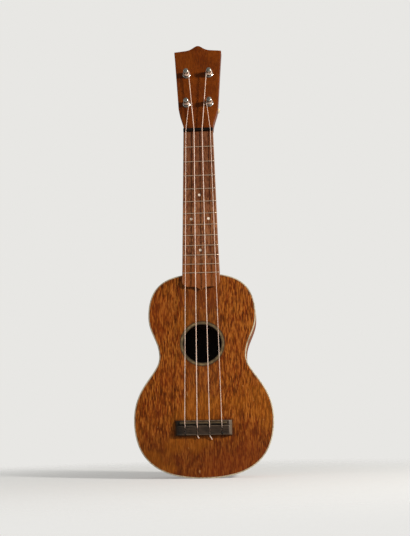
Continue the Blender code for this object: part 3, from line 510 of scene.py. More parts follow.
def neck_shaft():
    """Flat in front, and behind a half round whose powers of sine and cosine square its shoulders a little.
    The depth grows slowly towards the body and then by a power law into the heel, cut off flat at its cap."""
    rise = np.concatenate([
        np.linspace(0.05 * MM, HEEL_FOOT, 7)[:-1], HEEL_FOOT + HEEL_LENGTH * np.linspace(0, 1, 30)[:-1],
        np.linspace(HEEL_FOOT + HEEL_LENGTH, HEAD_Z - BODY_LENGTH, 24),
    ])[:, None]
    past = np.array((5 * MM, 10 * MM))[:, None]
    height = np.vstack([BODY_LENGTH + rise, HEAD_Z + past])
    share = (NUT_Z - height) / (SCALE_LENGTH / 2)
    shaft = 12.0 * MM + 2.5 * MM * share
    along = np.clip((height - BODY_LENGTH - HEEL_FOOT) / HEEL_LENGTH, 0, 1)
    depth = shaft + (60 * MM - shaft) * (1 - along) ** 2.4
    beyond = np.maximum(height - HEAD_Z, 0)
    depth = depth - beyond * 0.2
    front = beyond * math.tan(HEAD_ANGLE) + np.minimum(beyond, 1.5 * MM)
    turn = np.linspace(0, np.pi, 41)[None, :]
    cosine = np.cos(turn)
    width = (board_width(height) - beyond * 0.3) / 2
    across = width * np.sign(cosine) * np.abs(cosine) ** 0.8
    down = front + (depth - front) * np.sin(turn) ** 0.85
    cap = HEEL_CAP
    down = np.where(down > cap - 3 * MM, cap - 3 * MM * np.exp(-(down - cap + 3 * MM) / (3 * MM)), down)
    level = np.broadcast_to(height, across.shape)
    seated = level + (shoulder(across) + 0.05 * MM - BODY_LENGTH) * np.exp(-(level - BODY_LENGTH) / (9 * MM))
    rings = plan(across, down, seated)
    finish = koa("neck_mahogany", *NECK_WOOD, gloss=0.4)[0]
    solid("neck_shaft", rings, finish, ("neck",), sharp=40)


neck_shaft()


# The headstock, tilted back from the nut and cut to its crown: a cove at the throat, a straight flare, two
# corners and a peak in the middle. Its face is a shade redder, and left bare between the pegs.
HEAD_THICKNESS = 13.0 * MM
THROAT, THROAT_S = 24.2 * MM, 31 * MM
EAR, EAR_S = 28.2 * MM, 92 * MM
CORNER, CORNER_S = 29.2 * MM, 105 * MM
CREST_RISE = 2.0 * MM
PEAK_RISE, PEAK_SPREAD = 5.9 * MM, 7.6 * MM


def on_head(across, along, out):
    """Points on the headstock: across, up along its face from the nut, and out of the face."""
    across, along, out = np.broadcast_arrays(across, along, out)
    lean, rise = math.sin(HEAD_ANGLE), math.cos(HEAD_ANGLE)
    return np.stack([across, FACE_Y + lean * along - rise * out, HEAD_Z + rise * along + lean * out], axis=-1)


def head_line():
    """The headstock's outline: an eased step at the throat, straight sides, and a crown that is a low bell curve."""
    t = np.linspace(0, 1, 25)
    throat = np.stack([NUT_WIDTH / 2 + (THROAT - NUT_WIDTH / 2) * t * t * (3 - 2 * t), THROAT_S * t], -1)
    flare = np.stack([np.linspace(THROAT, EAR, 16)[1:], np.linspace(THROAT_S, EAR_S, 16)[1:]], -1)
    ear = np.stack([np.linspace(EAR, CORNER, 5)[1:-1], np.linspace(EAR_S, CORNER_S, 5)[1:-1]], -1)
    ease = 0.4 * MM
    corner = np.array(((CORNER - ease * 0.1, CORNER_S - ease), (CORNER - ease * 0.3, CORNER_S - ease * 0.3)))
    x = np.linspace(CORNER - ease, 0, 60)
    top = CORNER_S + CREST_RISE * np.sin(np.pi / 2 * (1 - x / CORNER))
    crown = np.stack([x, top + PEAK_RISE * np.exp(-((x / PEAK_SPREAD) ** 2))], -1)
    half = np.vstack([throat, flare, ear, corner, crown])
    return np.vstack([half, half[-2::-1] * (-1, 1)])


def headstock():
    """The outline, drawn towards its middle by a little at each face for an eased edge, then closed in by rings."""
    line = head_line()
    middle = np.array((0, 58 * MM))
    away = line - middle
    pull = away / np.linalg.norm(away, axis=1, keepdims=True)
    rows = [(0.9, 0.0), (0.5, 0.0), (0.15, 0.0)]
    rings = [on_head(*(line - away * share).T, out) for share, out in rows]
    for inset, out in ((0.8, 0.0), (0.25, 0.12), (0.0, 0.6), (0.0, 6.5), (0.0, 12.2), (0.3, 12.8), (1.0, 13.0)):
        rings.append(on_head(*(line - pull * inset * MM).T, -out * MM))
    rings += [on_head(*(line - away * share).T, -HEAD_THICKNESS) for share, out in rows[::-1]]
    finish, tree, shader, wood, where = koa("headstock_mahogany", *NECK_WOOD, gloss=0.36, fleck=0.15)
    polish = cloud(tree, where, 26 * MM, detail=2.0)
    warm = colours(tree, polish, (0.35, srgb(90, 36, 3)), (0.65, srgb(118, 55, 5)))
    feed(tree, shader.inputs["Base Color"], tint(tree, 0.62, wood, warm))
    solid("headstock", rings, finish, sharp=35)


headstock()


# The fretboard: a slip of red-brown wood glued on the neck and, at its pointed tongue, on the soundboard.
# Fingers have worn it paler and duller between the first frets.
BOARD_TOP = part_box("fretboard")[0][1] - FACE_Y
BOARD_FOOT = BODY_LENGTH - 15.7 * MM


def fret_z(number):
    return NUT_Z - SCALE_LENGTH * (1 - 2 ** (-number / 12))


def tongue(across):
    """The lower end: a quarter round at each corner, and an ogee that falls to a point on the centre line."""
    corner = 7.0 * MM
    wide = board_width(BOARD_FOOT + corner) / 2
    aside = np.minimum(np.abs(across), wide)
    round_part = np.maximum(aside - (wide - corner), 0)
    rounded = BOARD_FOOT + corner - np.sqrt(np.maximum(corner ** 2 - round_part ** 2, 0))
    return rounded - 5.2 * MM * np.exp(-aside / (3.0 * MM))


def fingered_wood():
    """Red-brown wood, scuffed paler where fingers press between the frets near the nut."""
    finish, tree, shader, wood, where = koa(
        "fretboard_rosewood", srgb(66, 30, 13), srgb(126, 70, 36), srgb(166, 108, 68), gloss=0.5, coarse=0.7,
    )
    split = tree.nodes.new("ShaderNodeSeparateXYZ")
    tree.links.new(where, split.inputs[0])
    scuffs = cloud(tree, where, 7 * MM, (1, 1, 0.7), 4.0)
    worn = sums(tree, "MULTIPLY", between(tree, scuffs, 0.42, 0.66), 0.4)
    wood = tint(tree, worn, wood, srgb(142, 94, 64))
    dark = sums(tree, "MULTIPLY", between(tree, split.outputs[2], 300 * MM, 350 * MM), 0.45)
    wood = tint(tree, dark, wood, srgb(88, 46, 26))
    golden = sums(tree, "MULTIPLY", between(tree, split.outputs[2], 262 * MM, 232 * MM), 0.6)
    wood = tint(tree, golden, wood, srgb(138, 72, 24))
    # A pale band along both edges of the board: partly rubbing wear, partly a painted highlight of the lit edges.
    slope = (TWELFTH_WIDTH - NUT_WIDTH) / SCALE_LENGTH
    half = sums(tree, "MULTIPLY_ADD", split.outputs[2], -slope, NUT_WIDTH / 2 + slope * NUT_Z)
    from_edge = sums(tree, "SUBTRACT", half, sums(tree, "ABSOLUTE", split.outputs[0]))
    rubbed = sums(tree, "MULTIPLY", between(tree, from_edge, 1.5 * MM, 0.3 * MM), 0.45)
    wood = tint(tree, rubbed, wood, srgb(178, 132, 102))
    feed(tree, shader.inputs["Base Color"], wood)
    return finish


def fretboard():
    """A flat section with two eased upper edges, carried down the board; each line ends on the tongue's curve."""
    ease = 0.35 * MM
    share = np.concatenate([np.linspace(0, 0.9, 60), np.linspace(0.9, 1.0, 24)[1:]])[:, None]
    nominal = NUT_Z - 0.05 * MM + (BOARD_FOOT + 7 * MM - NUT_Z) * share
    wide = board_width(nominal) / 2
    lanes = np.sin(np.linspace(-np.pi / 2, np.pi / 2, 41))
    reach = np.concatenate([[-1], lanes, [1, 1], lanes[::-1], [-1]])[None, :]
    drop = np.concatenate([[ease], np.zeros(41), [ease], [-BOARD_TOP], np.full(41, -BOARD_TOP), [-BOARD_TOP]])[None, :]
    inset = np.where(drop == 0, ease * np.abs(reach) ** 8, 0)
    across = reach * wide - np.sign(reach) * inset
    start = NUT_Z - 0.05 * MM
    height = start + (tongue(across) - start) * share
    rings = plan(across, BOARD_TOP + drop, height)
    solid("finger_board", rings, fingered_wood(), ("fretboard",), sharp=35)


fretboard()


# The frets: drawn bar with a round crown and a tang that is tapped into a sawn slot, filed flush at both ends.
# Their crowns are bright from the strings, and a green-brown dullness sits along their feet.
def fret_metal():
    """Nickel silver, bright on the crown and dull at its foot."""
    finish, tree, shader = new_finish("fret_silver", 0.34, 1.0)
    where = places(tree)
    split = tree.nodes.new("ShaderNodeSeparateXYZ")
    tree.links.new(where, split.inputs[0])
    crown = FACE_Y + BOARD_TOP
    bright = between(tree, split.outputs[1], crown - 0.3 * MM, crown - 0.75 * MM)
    dirt = cloud(tree, where, 1.6 * MM, detail=4.0)
    shine = tint(tree, bright, srgb(96, 76, 54), srgb(244, 212, 182))
    feed(tree, shader.inputs["Base Color"], tint(tree, sums(tree, "MULTIPLY", dirt, 0.4), shine, srgb(120, 96, 70)))
    feed(tree, shader.inputs["Roughness"], sums(tree, "MULTIPLY_ADD", dirt, 0.3, 0.16))
    return finish


def frets():
    """Half of an ellipse, 1.5 mm wide and 0.9 mm high, carried across the board and tapered to nothing at its ends."""
    finish = fret_metal()
    turn = np.linspace(0, np.pi, 15)
    for number in range(1, 13):
        low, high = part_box(f"fret_{number:02d}")
        middle = (low[2] + high[2]) / 2
        reach = high[0]
        end = 0.7 * MM
        run = np.concatenate([[0, 0.04, 0.14, 0.35, 0.65], [1]]) * end
        across = np.concatenate([-reach + run, np.linspace(-reach + 3 * end, reach - 3 * end, 9), (reach - run)[::-1]])
        lift = np.sin(np.clip((reach - np.abs(across)) / end, 0.02, 1) * np.pi / 2)[:, None] ** 0.5
        height = middle + np.cos(turn) * (high[2] - low[2]) / 2
        depth = BOARD_TOP + 0.1 * MM - (np.sin(turn) * 1.3 * MM) * lift
        rings = plan(across[:, None], depth, height)
        solid(f"fret_wire_{number:02d}", rings, finish, (f"fret_{number:02d}",), sharp=50)


frets()


# The position dots: small discs of shell, glued into drilled seats and sanded flush with the board.
def shell():
    """Mother-of-pearl: pale, with soft clouds that turn from cream to a cool grey."""
    finish, tree, shader = new_finish("dot_shell", 0.22)
    where = places(tree)
    drift = cloud(tree, where, 1.3 * MM, detail=3.0)
    cloudy = colours(tree, drift, (0.35, srgb(226, 204, 180)), (0.55, srgb(248, 230, 208)), (0.7, srgb(232, 226, 214)))
    feed(tree, shader.inputs["Base Color"], cloudy)
    return finish


def dots():
    """Discs with an eased rim, set a hair above the board."""
    finish = shell()
    turn = np.linspace(0, 2 * np.pi, 41)[:-1][None, :]
    for number in range(1, 5):
        low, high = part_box(f"fret_dot_{number}")
        x, z = (low[0] + high[0]) / 2, (low[2] + high[2]) / 2
        size = (high[0] - low[0]) / 2 + 0.1 * MM
        radius = np.array((0.5, 0.93, 1.0, 1.0))[:, None] * size
        depth = BOARD_TOP + np.array((-0.05, -0.05, 0.0, 1.0))[:, None] * MM
        rings = plan(x + radius * np.cos(turn), depth, z + radius * np.sin(turn))
        solid(f"pearl_dot_{number}", rings, finish, (f"fret_dot_{number}",), sharp=35)


dots()


# The nut: a bar of ebony across the board's end, rounded over towards the headstock, with a filed groove for
# each string.
GAUGES = np.array((0.75, 1.05, 0.95, 0.70)) * MM
LANES = np.arange(4) / 3 - 0.5
NUT_LANES = 29.5 * MM * LANES
BRIDGE_LANES = 42.4 * MM * LANES
GROOVE_FLOOR = 5.6 * MM


def dark_wood(name, deep, pale, gloss, specular=0.35):
    """Close-grained dark wood, its fine pores greyed by handling; the grain runs across the instrument."""
    finish, tree, shader = new_finish(name, gloss, specular=specular)
    where = places(tree)
    pores = cloud(tree, where, 0.7 * MM, (0.06, 1, 1), 4.0, 0.65)
    rubbed = cloud(tree, where, 9 * MM, detail=3.0)
    tone = sums(tree, "MULTIPLY_ADD", pores, 0.6, sums(tree, "MULTIPLY", rubbed, 0.4))
    feed(tree, shader.inputs["Base Color"], colours(tree, tone, (0.38, deep), (0.66, pale)))
    feed(tree, shader.inputs["Roughness"], sums(tree, "MULTIPLY_ADD", rubbed, 0.3, gloss - 0.12))
    emboss(tree, shader, pores, 0.02 * MM)
    return finish


def stations(reach, lanes, halves, plain=40):
    """Distances across a bar: an even spread, with pairs on both sides of each groove's walls."""
    edges = np.concatenate([lanes - halves, lanes + halves])
    close = np.concatenate([edges - 0.02 * MM, edges + 0.02 * MM])
    inside = (lanes[:, None] + halves[:, None] * np.linspace(-0.9, 0.9, 9)).ravel()
    return np.unique(np.concatenate([np.linspace(-reach, reach, plain), close, inside]))


def nut():
    """The bar's side view, a slope with rounded shoulders, carried across; round-bottomed grooves are cut from it."""
    reach = NUT_WIDTH / 2
    halves = GAUGES / 2 + 0.12 * MM
    across = stations(reach, NUT_LANES, halves)[:, None]
    z = np.array((0.0, 0.0, 0.0, 0.35, 1.0, 2.2, 3.2, 3.75, 4.0, 4.0, 4.0))[None, :] * MM + NUT_Z
    top = np.array((0.1, 3.0, 6.0, 6.5, 6.6, 6.4, 6.1, 5.7, 5.1, 3.0, 0.1))[None, :] * MM
    nearest = np.argmin(np.abs(across - NUT_LANES[None, :]), axis=1)
    offset = (across[:, 0] - NUT_LANES[nearest])[:, None]
    half = halves[nearest][:, None]
    bottom = GROOVE_FLOOR + half - np.sqrt(np.maximum(half ** 2 - offset ** 2, 0))
    cut = np.abs(offset) <= half
    height = np.where(cut & (top > bottom), bottom, top)
    ends = np.minimum((reach - np.abs(across)) / (0.5 * MM), 1)
    height = height - (top > 5 * MM) * 0.4 * MM * (1 - np.sqrt(1 - (1 - ends) ** 2))
    rings = plan(across, -height, z)
    finish = dark_wood("nut_ebony", srgb(7, 5, 4), srgb(26, 19, 14), 0.4, 0.12)
    solid("nut_bar", rings, finish, ("nut",), sharp=35)


nut()


# The bridge: a bar of near-black wood glued to the soundboard. The strings are knotted into sawn slots in its
# tie block, a saw groove follows, and a seat in front of it takes the saddle. Both ends are sloped.
SADDLE_LOW, SADDLE_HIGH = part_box("saddle")
REAR_Z, FRONT_Z = BRIDGE_LOW[2], BRIDGE_HIGH[2]
BLOCK_END = REAR_Z + 11.1 * MM
SLOT_HALVES = (GAUGES + 0.9 * MM) / 2
SLOT_FLOOR = 3.2 * MM


def blackwood():
    """Near-black wood, with a painted highlight along its front edge, the tie block's two edges and both sloped ends,
    and a painted shade over its bass end.
    """
    finish = dark_wood("bridge_blackwood", srgb(24, 17, 11), srgb(70, 54, 41), 0.38, 0.2)
    tree = finish.node_tree
    shader = tree.nodes["Principled BSDF"]
    wood = shader.inputs["Base Color"].links[0].from_socket
    split = tree.nodes.new("ShaderNodeSeparateXYZ")
    tree.links.new(places(tree), split.inputs[0])
    # The sloped ends and the edges are made paler: a painted highlight where the light catches them.
    rubbed = between(tree, sums(tree, "ABSOLUTE", split.outputs[0]), BRIDGE_HIGH[0] - 3.6 * MM, BRIDGE_HIGH[0] - 2.4 * MM)
    for edge, reach in ((FRONT_Z - 0.3 * MM, 0.7 * MM), (BLOCK_END - 0.3 * MM, 0.5 * MM), (REAR_Z + 0.9 * MM, 0.8 * MM)):
        away = sums(tree, "ABSOLUTE", sums(tree, "SUBTRACT", split.outputs[2], edge))
        rubbed = sums(tree, "MAXIMUM", rubbed, between(tree, away, reach, reach * 0.3))
    wood = tint(tree, sums(tree, "MULTIPLY", rubbed, 0.5), wood, srgb(132, 114, 96))
    # The bass end darker: a painted shade on the side away from the light.
    bass_end_shade = sums(tree, "MULTIPLY", between(tree, split.outputs[0], -15 * MM, -31 * MM), 0.8)
    feed(tree, shader.inputs["Base Color"], tint(tree, bass_end_shade, wood, srgb(12, 9, 7)))
    return finish


def bridge():
    """A height for each place of a grid: the side view's profile, lowered by a slope at both ends and cut away to
    the slot floor in the strings' lanes."""
    reach = BRIDGE_HIGH[0]
    across = stations(reach, BRIDGE_LANES, SLOT_HALVES, 90)[:, None]
    back, groove = REAR_Z, BLOCK_END
    seat_low, seat_high = SADDLE_LOW[2] - 0.1 * MM, SADDLE_HIGH[2] + 0.1 * MM
    steps = (
        (back, 0.05), (back, 4.4), (back + 0.3 * MM, 5.5), (back + 0.9 * MM, 6.4), (back + 1.8 * MM, 7.0),
        (back + 3.2 * MM, 7.2), (back + 6 * MM, 7.25), (back + 9 * MM, 7.2), (groove - 0.7 * MM, 7.1),
        (groove - 0.25 * MM, 6.9), (groove - 0.02 * MM, 6.4), (groove, 4.3), (groove + 0.78 * MM, 4.3),
        (groove + 0.8 * MM, 5.2), (seat_low - 0.02 * MM, 5.2), (seat_low, 3.2), (seat_high, 3.2),
        (seat_high + 0.02 * MM, 5.2), (FRONT_Z - 0.5 * MM, 5.0), (FRONT_Z, 4.2), (FRONT_Z, 0.05),
    )
    z = np.array([place for place, height in steps])[None, :]
    top = np.array([height for place, height in steps])[None, :] * MM
    end = np.clip((reach - np.abs(across)) / (4.0 * MM), 0, 1)
    share = 0.35 + 0.65 * np.sin(end * np.pi / 2) ** 0.9
    height = np.minimum(top * share + 0.1 * MM, top)
    offset = np.abs(across - BRIDGE_LANES[None, :])
    in_lane = np.any(offset <= SLOT_HALVES[None, :], axis=1)[:, None]
    sawn = in_lane & (z < groove + 0.79 * MM) & (top > SLOT_FLOOR)
    height = np.where(sawn, SLOT_FLOOR, height)
    beyond = np.abs(across) > SADDLE_HIGH[0] + 0.15 * MM
    in_seat = (z >= seat_low - 0.001 * MM) & (z <= seat_high + 0.001 * MM)
    height = np.where(beyond & in_seat, np.minimum(5.2 * MM * share, 5.2 * MM), height)
    rings = plan(across, -height, z)
    solid("bridge_bar", rings, blackwood(), ("bridge",), sharp=30)


bridge()


# The saddle: a strip of olive-brown wood, let into the bridge's seat and rounded over where the strings cross.
SADDLE_TOP = FACE_Y - SADDLE_LOW[1]


def saddle():
    """A thin upright section with a half-round top, carried across, and dented a little under each string."""
    reach = SADDLE_HIGH[0]
    across = stations(reach, BRIDGE_LANES, GAUGES * 0.6, 30)[:, None]
    middle = (SADDLE_LOW[2] + SADDLE_HIGH[2]) / 2
    half = (SADDLE_HIGH[2] - SADDLE_LOW[2]) / 2
    turn = np.linspace(0, np.pi, 13)
    z = middle + half * np.concatenate([[1], np.cos(turn), [-1]])[None, :]
    rise = SADDLE_TOP - 1.1 * MM + 1.1 * MM * np.sin(turn)
    height = np.concatenate([[3.3 * MM], rise, [3.3 * MM]])[None, :]
    offset = np.min(np.abs(across - BRIDGE_LANES[None, :]), axis=1)[:, None]
    dent = 0.18 * MM * np.exp(-((offset / (0.5 * MM)) ** 2)) * (height > 5 * MM)
    ends = np.clip((reach - np.abs(across)) / (0.8 * MM), 0, 1)
    height = height - dent - (height > 5 * MM) * 0.7 * MM * (1 - np.sqrt(1 - (1 - ends) ** 2))
    rings = plan(across, -height, z)
    finish = dark_wood("saddle_olive", srgb(48, 36, 20), srgb(104, 84, 54), 0.4)
    solid("saddle_strip", rings, finish, ("saddle",), sharp=40)


saddle()


# The pegs' places. Each peg turns about a line square to the headstock's face, from the frame's own joints.
# They are numbered as the strings are: lower left, upper left, upper right, lower right.
PEG_X = [joint["pos_m"][0] for joint in frame["joints"]]
PEG_S = [(joint["pos_m"][2] - HEAD_Z) / math.cos(HEAD_ANGLE) for joint in frame["joints"]]
POST_WAIST = 2.5 * MM
WINDING_TOP = 7.4 * MM
CLEAR = 0.3 * MM


def at_peg(index, x, y, out):
    """Points round one peg's axis: x across, y up the headstock, and out of its face."""
    return on_head(PEG_X[index] + x, PEG_S[index] + y, out)


# The strings: pale gut, each from its slot over saddle and nut to its post, with a short cut end left on two.
def gut():
    """Twisted gut: pale and pinkish, with a slow drift of tone and a soft skin."""
    finish, tree, shader = new_finish("string_gut_skin", 0.36)
    where = places(tree)
    drift = cloud(tree, where, 5 * MM, (1, 1, 0.4), 3.0)
    skin = colours(tree, drift, (0.3, srgb(210, 172, 150)), (0.7, srgb(242, 214, 194)))
    feed(tree, shader.inputs["Base Color"], skin)
    shader.inputs["Subsurface Weight"].default_value = 0.15
    shader.inputs["Subsurface Radius"].default_value = (1 * MM, 0.7 * MM, 0.5 * MM)
    return finish


gut_skin = gut()


def cord(name, path, radius, replaces, body="instrument", sides=12):
    """A round cord: circles square to a smooth path, each turned on from the last by the least amount, with its
    two ends drawn in to small domes."""
    path = np.asarray(path)
    ahead = np.gradient(path, axis=0)
    ahead /= np.linalg.norm(ahead, axis=1, keepdims=True)
    side = np.empty_like(path)
    first = np.cross(ahead[0], (0.31, 0.52, 0.79))
    for i, direction in enumerate(ahead):
        first = first - direction * (first @ direction)
        first = first / np.linalg.norm(first)
        side[i] = first
    up = np.cross(ahead, side)
    turn = np.linspace(0, 2 * np.pi, sides + 1)[:-1]
    dome = np.array(((0.92, 0.35), (0.6, 0.8)))
    start = path[0] - ahead[0] * dome[:, :1][::-1] * radius * 0.5
    stop = path[-1] + ahead[-1] * dome[:, :1] * radius * 0.5
    circle = np.cos(turn)[:, None] * side[:, None] + np.sin(turn)[:, None] * up[:, None]
    rings = path[:, None] + circle * radius
    tips = [point + circle[0] * radius * size for point, size in zip(start, (0.55, 0.9))]
    tails = [point + circle[-1] * radius * size for point, size in zip(stop[::-1], (0.9, 0.55))]
    solid(name, np.vstack([[tips[0]], [tips[1]], rings, [tails[0]], [tails[1]]]), gut_skin, replaces, body)


def rounded(points, bend=1.2 * MM, steps=7):
    """A path through given points whose corners are small arcs: quadratic curves between points one bend away."""
    points = np.asarray(points, dtype=float)
    pieces = [points[:1]]
    t = np.linspace(0, 1, steps)[:, None]
    for before, corner, after in zip(points, points[1:], points[2:]):
        inward, onward = before - corner, after - corner
        reach = min(bend, np.linalg.norm(inward) * 0.45, np.linalg.norm(onward) * 0.45)
        a = corner + inward / np.linalg.norm(inward) * reach
        b = corner + onward / np.linalg.norm(onward) * reach
        pieces.append((1 - t) ** 2 * a + 2 * (1 - t) * t * corner + t ** 2 * b)
    return np.vstack(pieces + [points[-1:]])


CUT_ENDS = (0.0, 2.6 * MM, 4.6 * MM, 0.0)


def strings():
    """Straight runs from given points: slot, saddle, nut and post."""
    saddle_z = (SADDLE_LOW[2] + SADDLE_HIGH[2]) / 2
    for index, gauge in enumerate(GAUGES):
        r = gauge / 2
        x, x_nut = BRIDGE_LANES[index], NUT_LANES[index]
        rest = SLOT_FLOOR + CLEAR + r
        points = []
        reach = CUT_ENDS[index]
        if reach:
            low = max(rest - reach * 0.6, r + 0.6 * MM)
            points.append((x + reach * 0.5, -low, REAR_Z - 0.5 * MM - reach))
            points.append((x, -rest, REAR_Z - 0.5 * MM))
        points += [(x, -rest, REAR_Z + 2.5 * MM), (x, -rest - 0.5 * MM, REAR_Z + 6.7 * MM)]
        points += [(x, -SADDLE_TOP - 0.1 * MM - r, saddle_z), (x_nut, -GROOVE_FLOOR - 0.1 * MM - r, NUT_Z + 1.6 * MM)]
        path = plan(*np.array(points).T)
        round_post = POST_WAIST + CLEAR + r
        clear = math.sqrt((round_post + gauge + CLEAR) ** 2 - round_post ** 2)
        side = -np.sign(PEG_X[index])
        end = at_peg(index, side * round_post, -clear - r, WINDING_TOP)
        cord(f"gut_string_{index + 1}", rounded(np.vstack([path, end])), r, (f"string_{index + 1}",))


strings()


# The turns of string on each post: two and a half, laid down the post from where the string comes in.
TURN_POINTS = 48


def windings():
    """A helix that drops one gauge and a bit for each turn, with a straight stretch one gauge long at both ends."""
    for index, gauge in enumerate(GAUGES):
        side = np.sign(PEG_X[index])
        way = -side
        radius = POST_WAIST + CLEAR + gauge / 2
        turns = np.arange(int(2.5 * TURN_POINTS) + 1) / TURN_POINTS
        start = 0.0 if side < 0 else np.pi
        angle = start + way * 2 * np.pi * turns
        out = WINDING_TOP - (gauge + 0.55 * MM) * turns
        x, y = radius * np.cos(angle), radius * np.sin(angle)
        x = np.concatenate([[x[0]], x, [x[-1] - math.sin(angle[-1]) * way * gauge]])
        y = np.concatenate([[y[0] - gauge], y, [y[-1] + math.cos(angle[-1]) * way * gauge]])
        out = np.concatenate([[out[0]], out, [out[-1]]])
        path = at_peg(index, x, y, out)
        cord(f"string_turns_{index + 1}", path, gauge / 2, (f"peg_winding_{index + 1}",), f"peg_{index + 1}", 10)


windings()


# The ferrules and posts: nickel-plated brass, turned. A ferrule is pressed into the headstock's face as a
# bearing, and the post runs through it and through the wood to the button.
def nickel():
    """Nickel plate: a warm grey mirror, a little clouded, with fine turning marks round each piece."""
    finish, tree, shader = new_finish("peg_nickel", 0.2, 1.0)
    where = places(tree)
    haze = cloud(tree, where, 1.8 * MM, detail=4.0)
    plate = colours(tree, haze, (0.3, srgb(128, 124, 112)), (0.62, srgb(196, 193, 182)))
    feed(tree, shader.inputs["Base Color"], plate)
    feed(tree, shader.inputs["Roughness"], sums(tree, "MULTIPLY_ADD", haze, 0.28, 0.06))
    return finish


peg_nickel = nickel()


def turned(name, index, profile, finish, slot, node, body, wrap=False, sharp=40):
    """A profile of (radius, height) points spun round the peg's axis."""
    turn = np.linspace(0, 2 * np.pi, 57)[:-1][None, :]
    radius, out = (np.array(values)[:, None] * MM for values in zip(*profile))
    rings = at_peg(index, radius * np.cos(turn), radius * np.sin(turn), out)
    return solid(name, rings, finish, (node,), body, wrap, sharp)


def arc(centre, height, radius, start, stop, steps=7):
    """Points of a round corner of a profile: degrees run from straight out, 0, to straight up, 90."""
    sweep = np.radians(np.linspace(start, stop, steps))
    return [(centre + radius * math.cos(a), height + radius * math.sin(a)) for a in sweep]


def ferrules_and_posts():
    """Ferrule: a domed collar. Post: shank, waist for the string, a flared head with a rounded top."""
    for index, gauge in enumerate(GAUGES / MM):
        number = index + 1
        collar = [(3.05, 0.02), (4.8, 0.02)] + arc(4.35, 0.75, 0.45, 0, 70, 5) + [(4.05, 1.5)]
        collar += arc(3.75, 1.95, 0.4, 20, 90, 5) + [(3.2, 2.4), (3.05, 2.2)]
        turned(f"ferrule_{number}", index, collar, peg_nickel, "nickel", f"peg_ferrule_{number}", "instrument", True)
        high = WINDING_TOP / MM + gauge
        post = [(2.9, -19.2), (2.9, 2.4), (2.6, 2.62), (2.5, 2.8), (2.5, high), (2.6, high + 0.5), (2.9, high + 1.0)]
        post += [(3.1, high + 1.4), (3.12, 11.4)] + arc(1.9, 11.4, 1.2, 0, 84, 8) + [(0.9, 12.64), (0.3, 12.68)]
        turned(f"post_{number}", index, post, peg_nickel, "nickel", f"peg_post_{number}", f"peg_{number}")


ferrules_and_posts()


# The buttons: cream celluloid paddles, oval, thinner than they are wide, on a short round stem. A screw up the
# middle pulls each against the headstock's back, which sets how stiffly the peg turns.
BUTTON_TURNS = np.radians((70, 25, 140, 4))
BUTTON_LENGTH = 17.1 * MM
BUTTON_SHARES = (0, 0.02, 0.1, 0.22, 0.36, 0.52, 0.72, 0.9, 0.97, 1.0)
BUTTON_HALF_WIDTHS = (4.3, 4.6, 4.35, 4.9, 9.9, 11.8, 11.2, 8.8, 6.6, 5.4)
BUTTON_HALF_DEPTHS = (4.3, 4.6, 4.35, 4.2, 4.2, 4.2, 4.1, 3.6, 3.2, 2.9)


def buttons():
    """Oval rings with blunt ends, whose two half widths follow smooth curves down the length, each button turned to
    its peg's resting angle."""
    finish = celluloid("button_celluloid", srgb(228, 214, 178), srgb(204, 184, 142), 0.26)
    share = np.concatenate([[0.0, 0.006, 0.02], np.linspace(0.05, 0.97, 34), [0.99, 1.0]])
    wide = np.interp(share, BUTTON_SHARES, BUTTON_HALF_WIDTHS)
    thick = np.interp(share, BUTTON_SHARES, BUTTON_HALF_DEPTHS)
    kernel = np.array((1, 2, 3, 2, 1)) / 9
    for _ in range(2):
        wide[4:-3] = np.convolve(wide, kernel, "same")[4:-3]
        thick[4:-3] = np.convolve(thick, kernel, "same")[4:-3]
    turn = np.linspace(0, 2 * np.pi, 57)[:-1][None, :]
    for index, angle in enumerate(BUTTON_TURNS):
        a = wide[:, None] * MM * np.sign(np.cos(turn)) * np.abs(np.cos(turn)) ** 0.8
        b = thick[:, None] * MM * np.sign(np.sin(turn)) * np.abs(np.sin(turn)) ** 0.8
        x, y = a * math.cos(angle) - b * math.sin(angle), a * math.sin(angle) + b * math.cos(angle)
        out = -HEAD_THICKNESS - 0.1 * MM - BUTTON_LENGTH * share[:, None]
        rings = at_peg(index, x, y, out)
        node = f"peg_button_{index + 1}"
        solid(f"button_{index + 1}", rings, finish, (node,), f"peg_{index + 1}", sharp=60)


buttons()


def screws():
    """A domed head with a driver's slot: a disc of rings whose height drops inside a narrow band."""
    turn = np.linspace(0, 2 * np.pi, 73)[:-1][None, :]
    radius = np.array((0.25, 0.5, 0.8, 1.1, 1.4, 1.7, 1.95, 2.15, 2.27, 2.3, 2.3))[:, None]
    dome = 1.3 * np.sqrt(np.maximum(1 - (radius / 2.3) ** 2 * 0.8, 0)) + 0.05
    dome[-1] = 0.0
    for index in range(len(GAUGES)):
        angle = BUTTON_TURNS[index] + 0.5
        slot = np.abs(radius * np.sin(turn - angle)) < 0.28
        out = np.where(slot & (dome > 0.4), np.minimum(dome, 0.55), dome)
        far = -HEAD_THICKNESS - BUTTON_LENGTH - 0.15 * MM
        rings = at_peg(index, radius * MM * np.cos(turn), radius * MM * np.sin(turn), far - out * MM)
        node = f"peg_screw_{index + 1}"
        solid(f"button_screw_{index + 1}", rings, peg_nickel, (node,), f"peg_{index + 1}", sharp=40)


screws()


# The room: a pale floor under the tail, painted white, which fades out into an even pale ground round it.
GROUND = srgb(232, 231, 228)


def ray(tree, kind):
    """1 for rays of a kind, such as those that the camera sends out, and 0 for others."""
    return tree.nodes.new("ShaderNodeLightPath").outputs[kind]


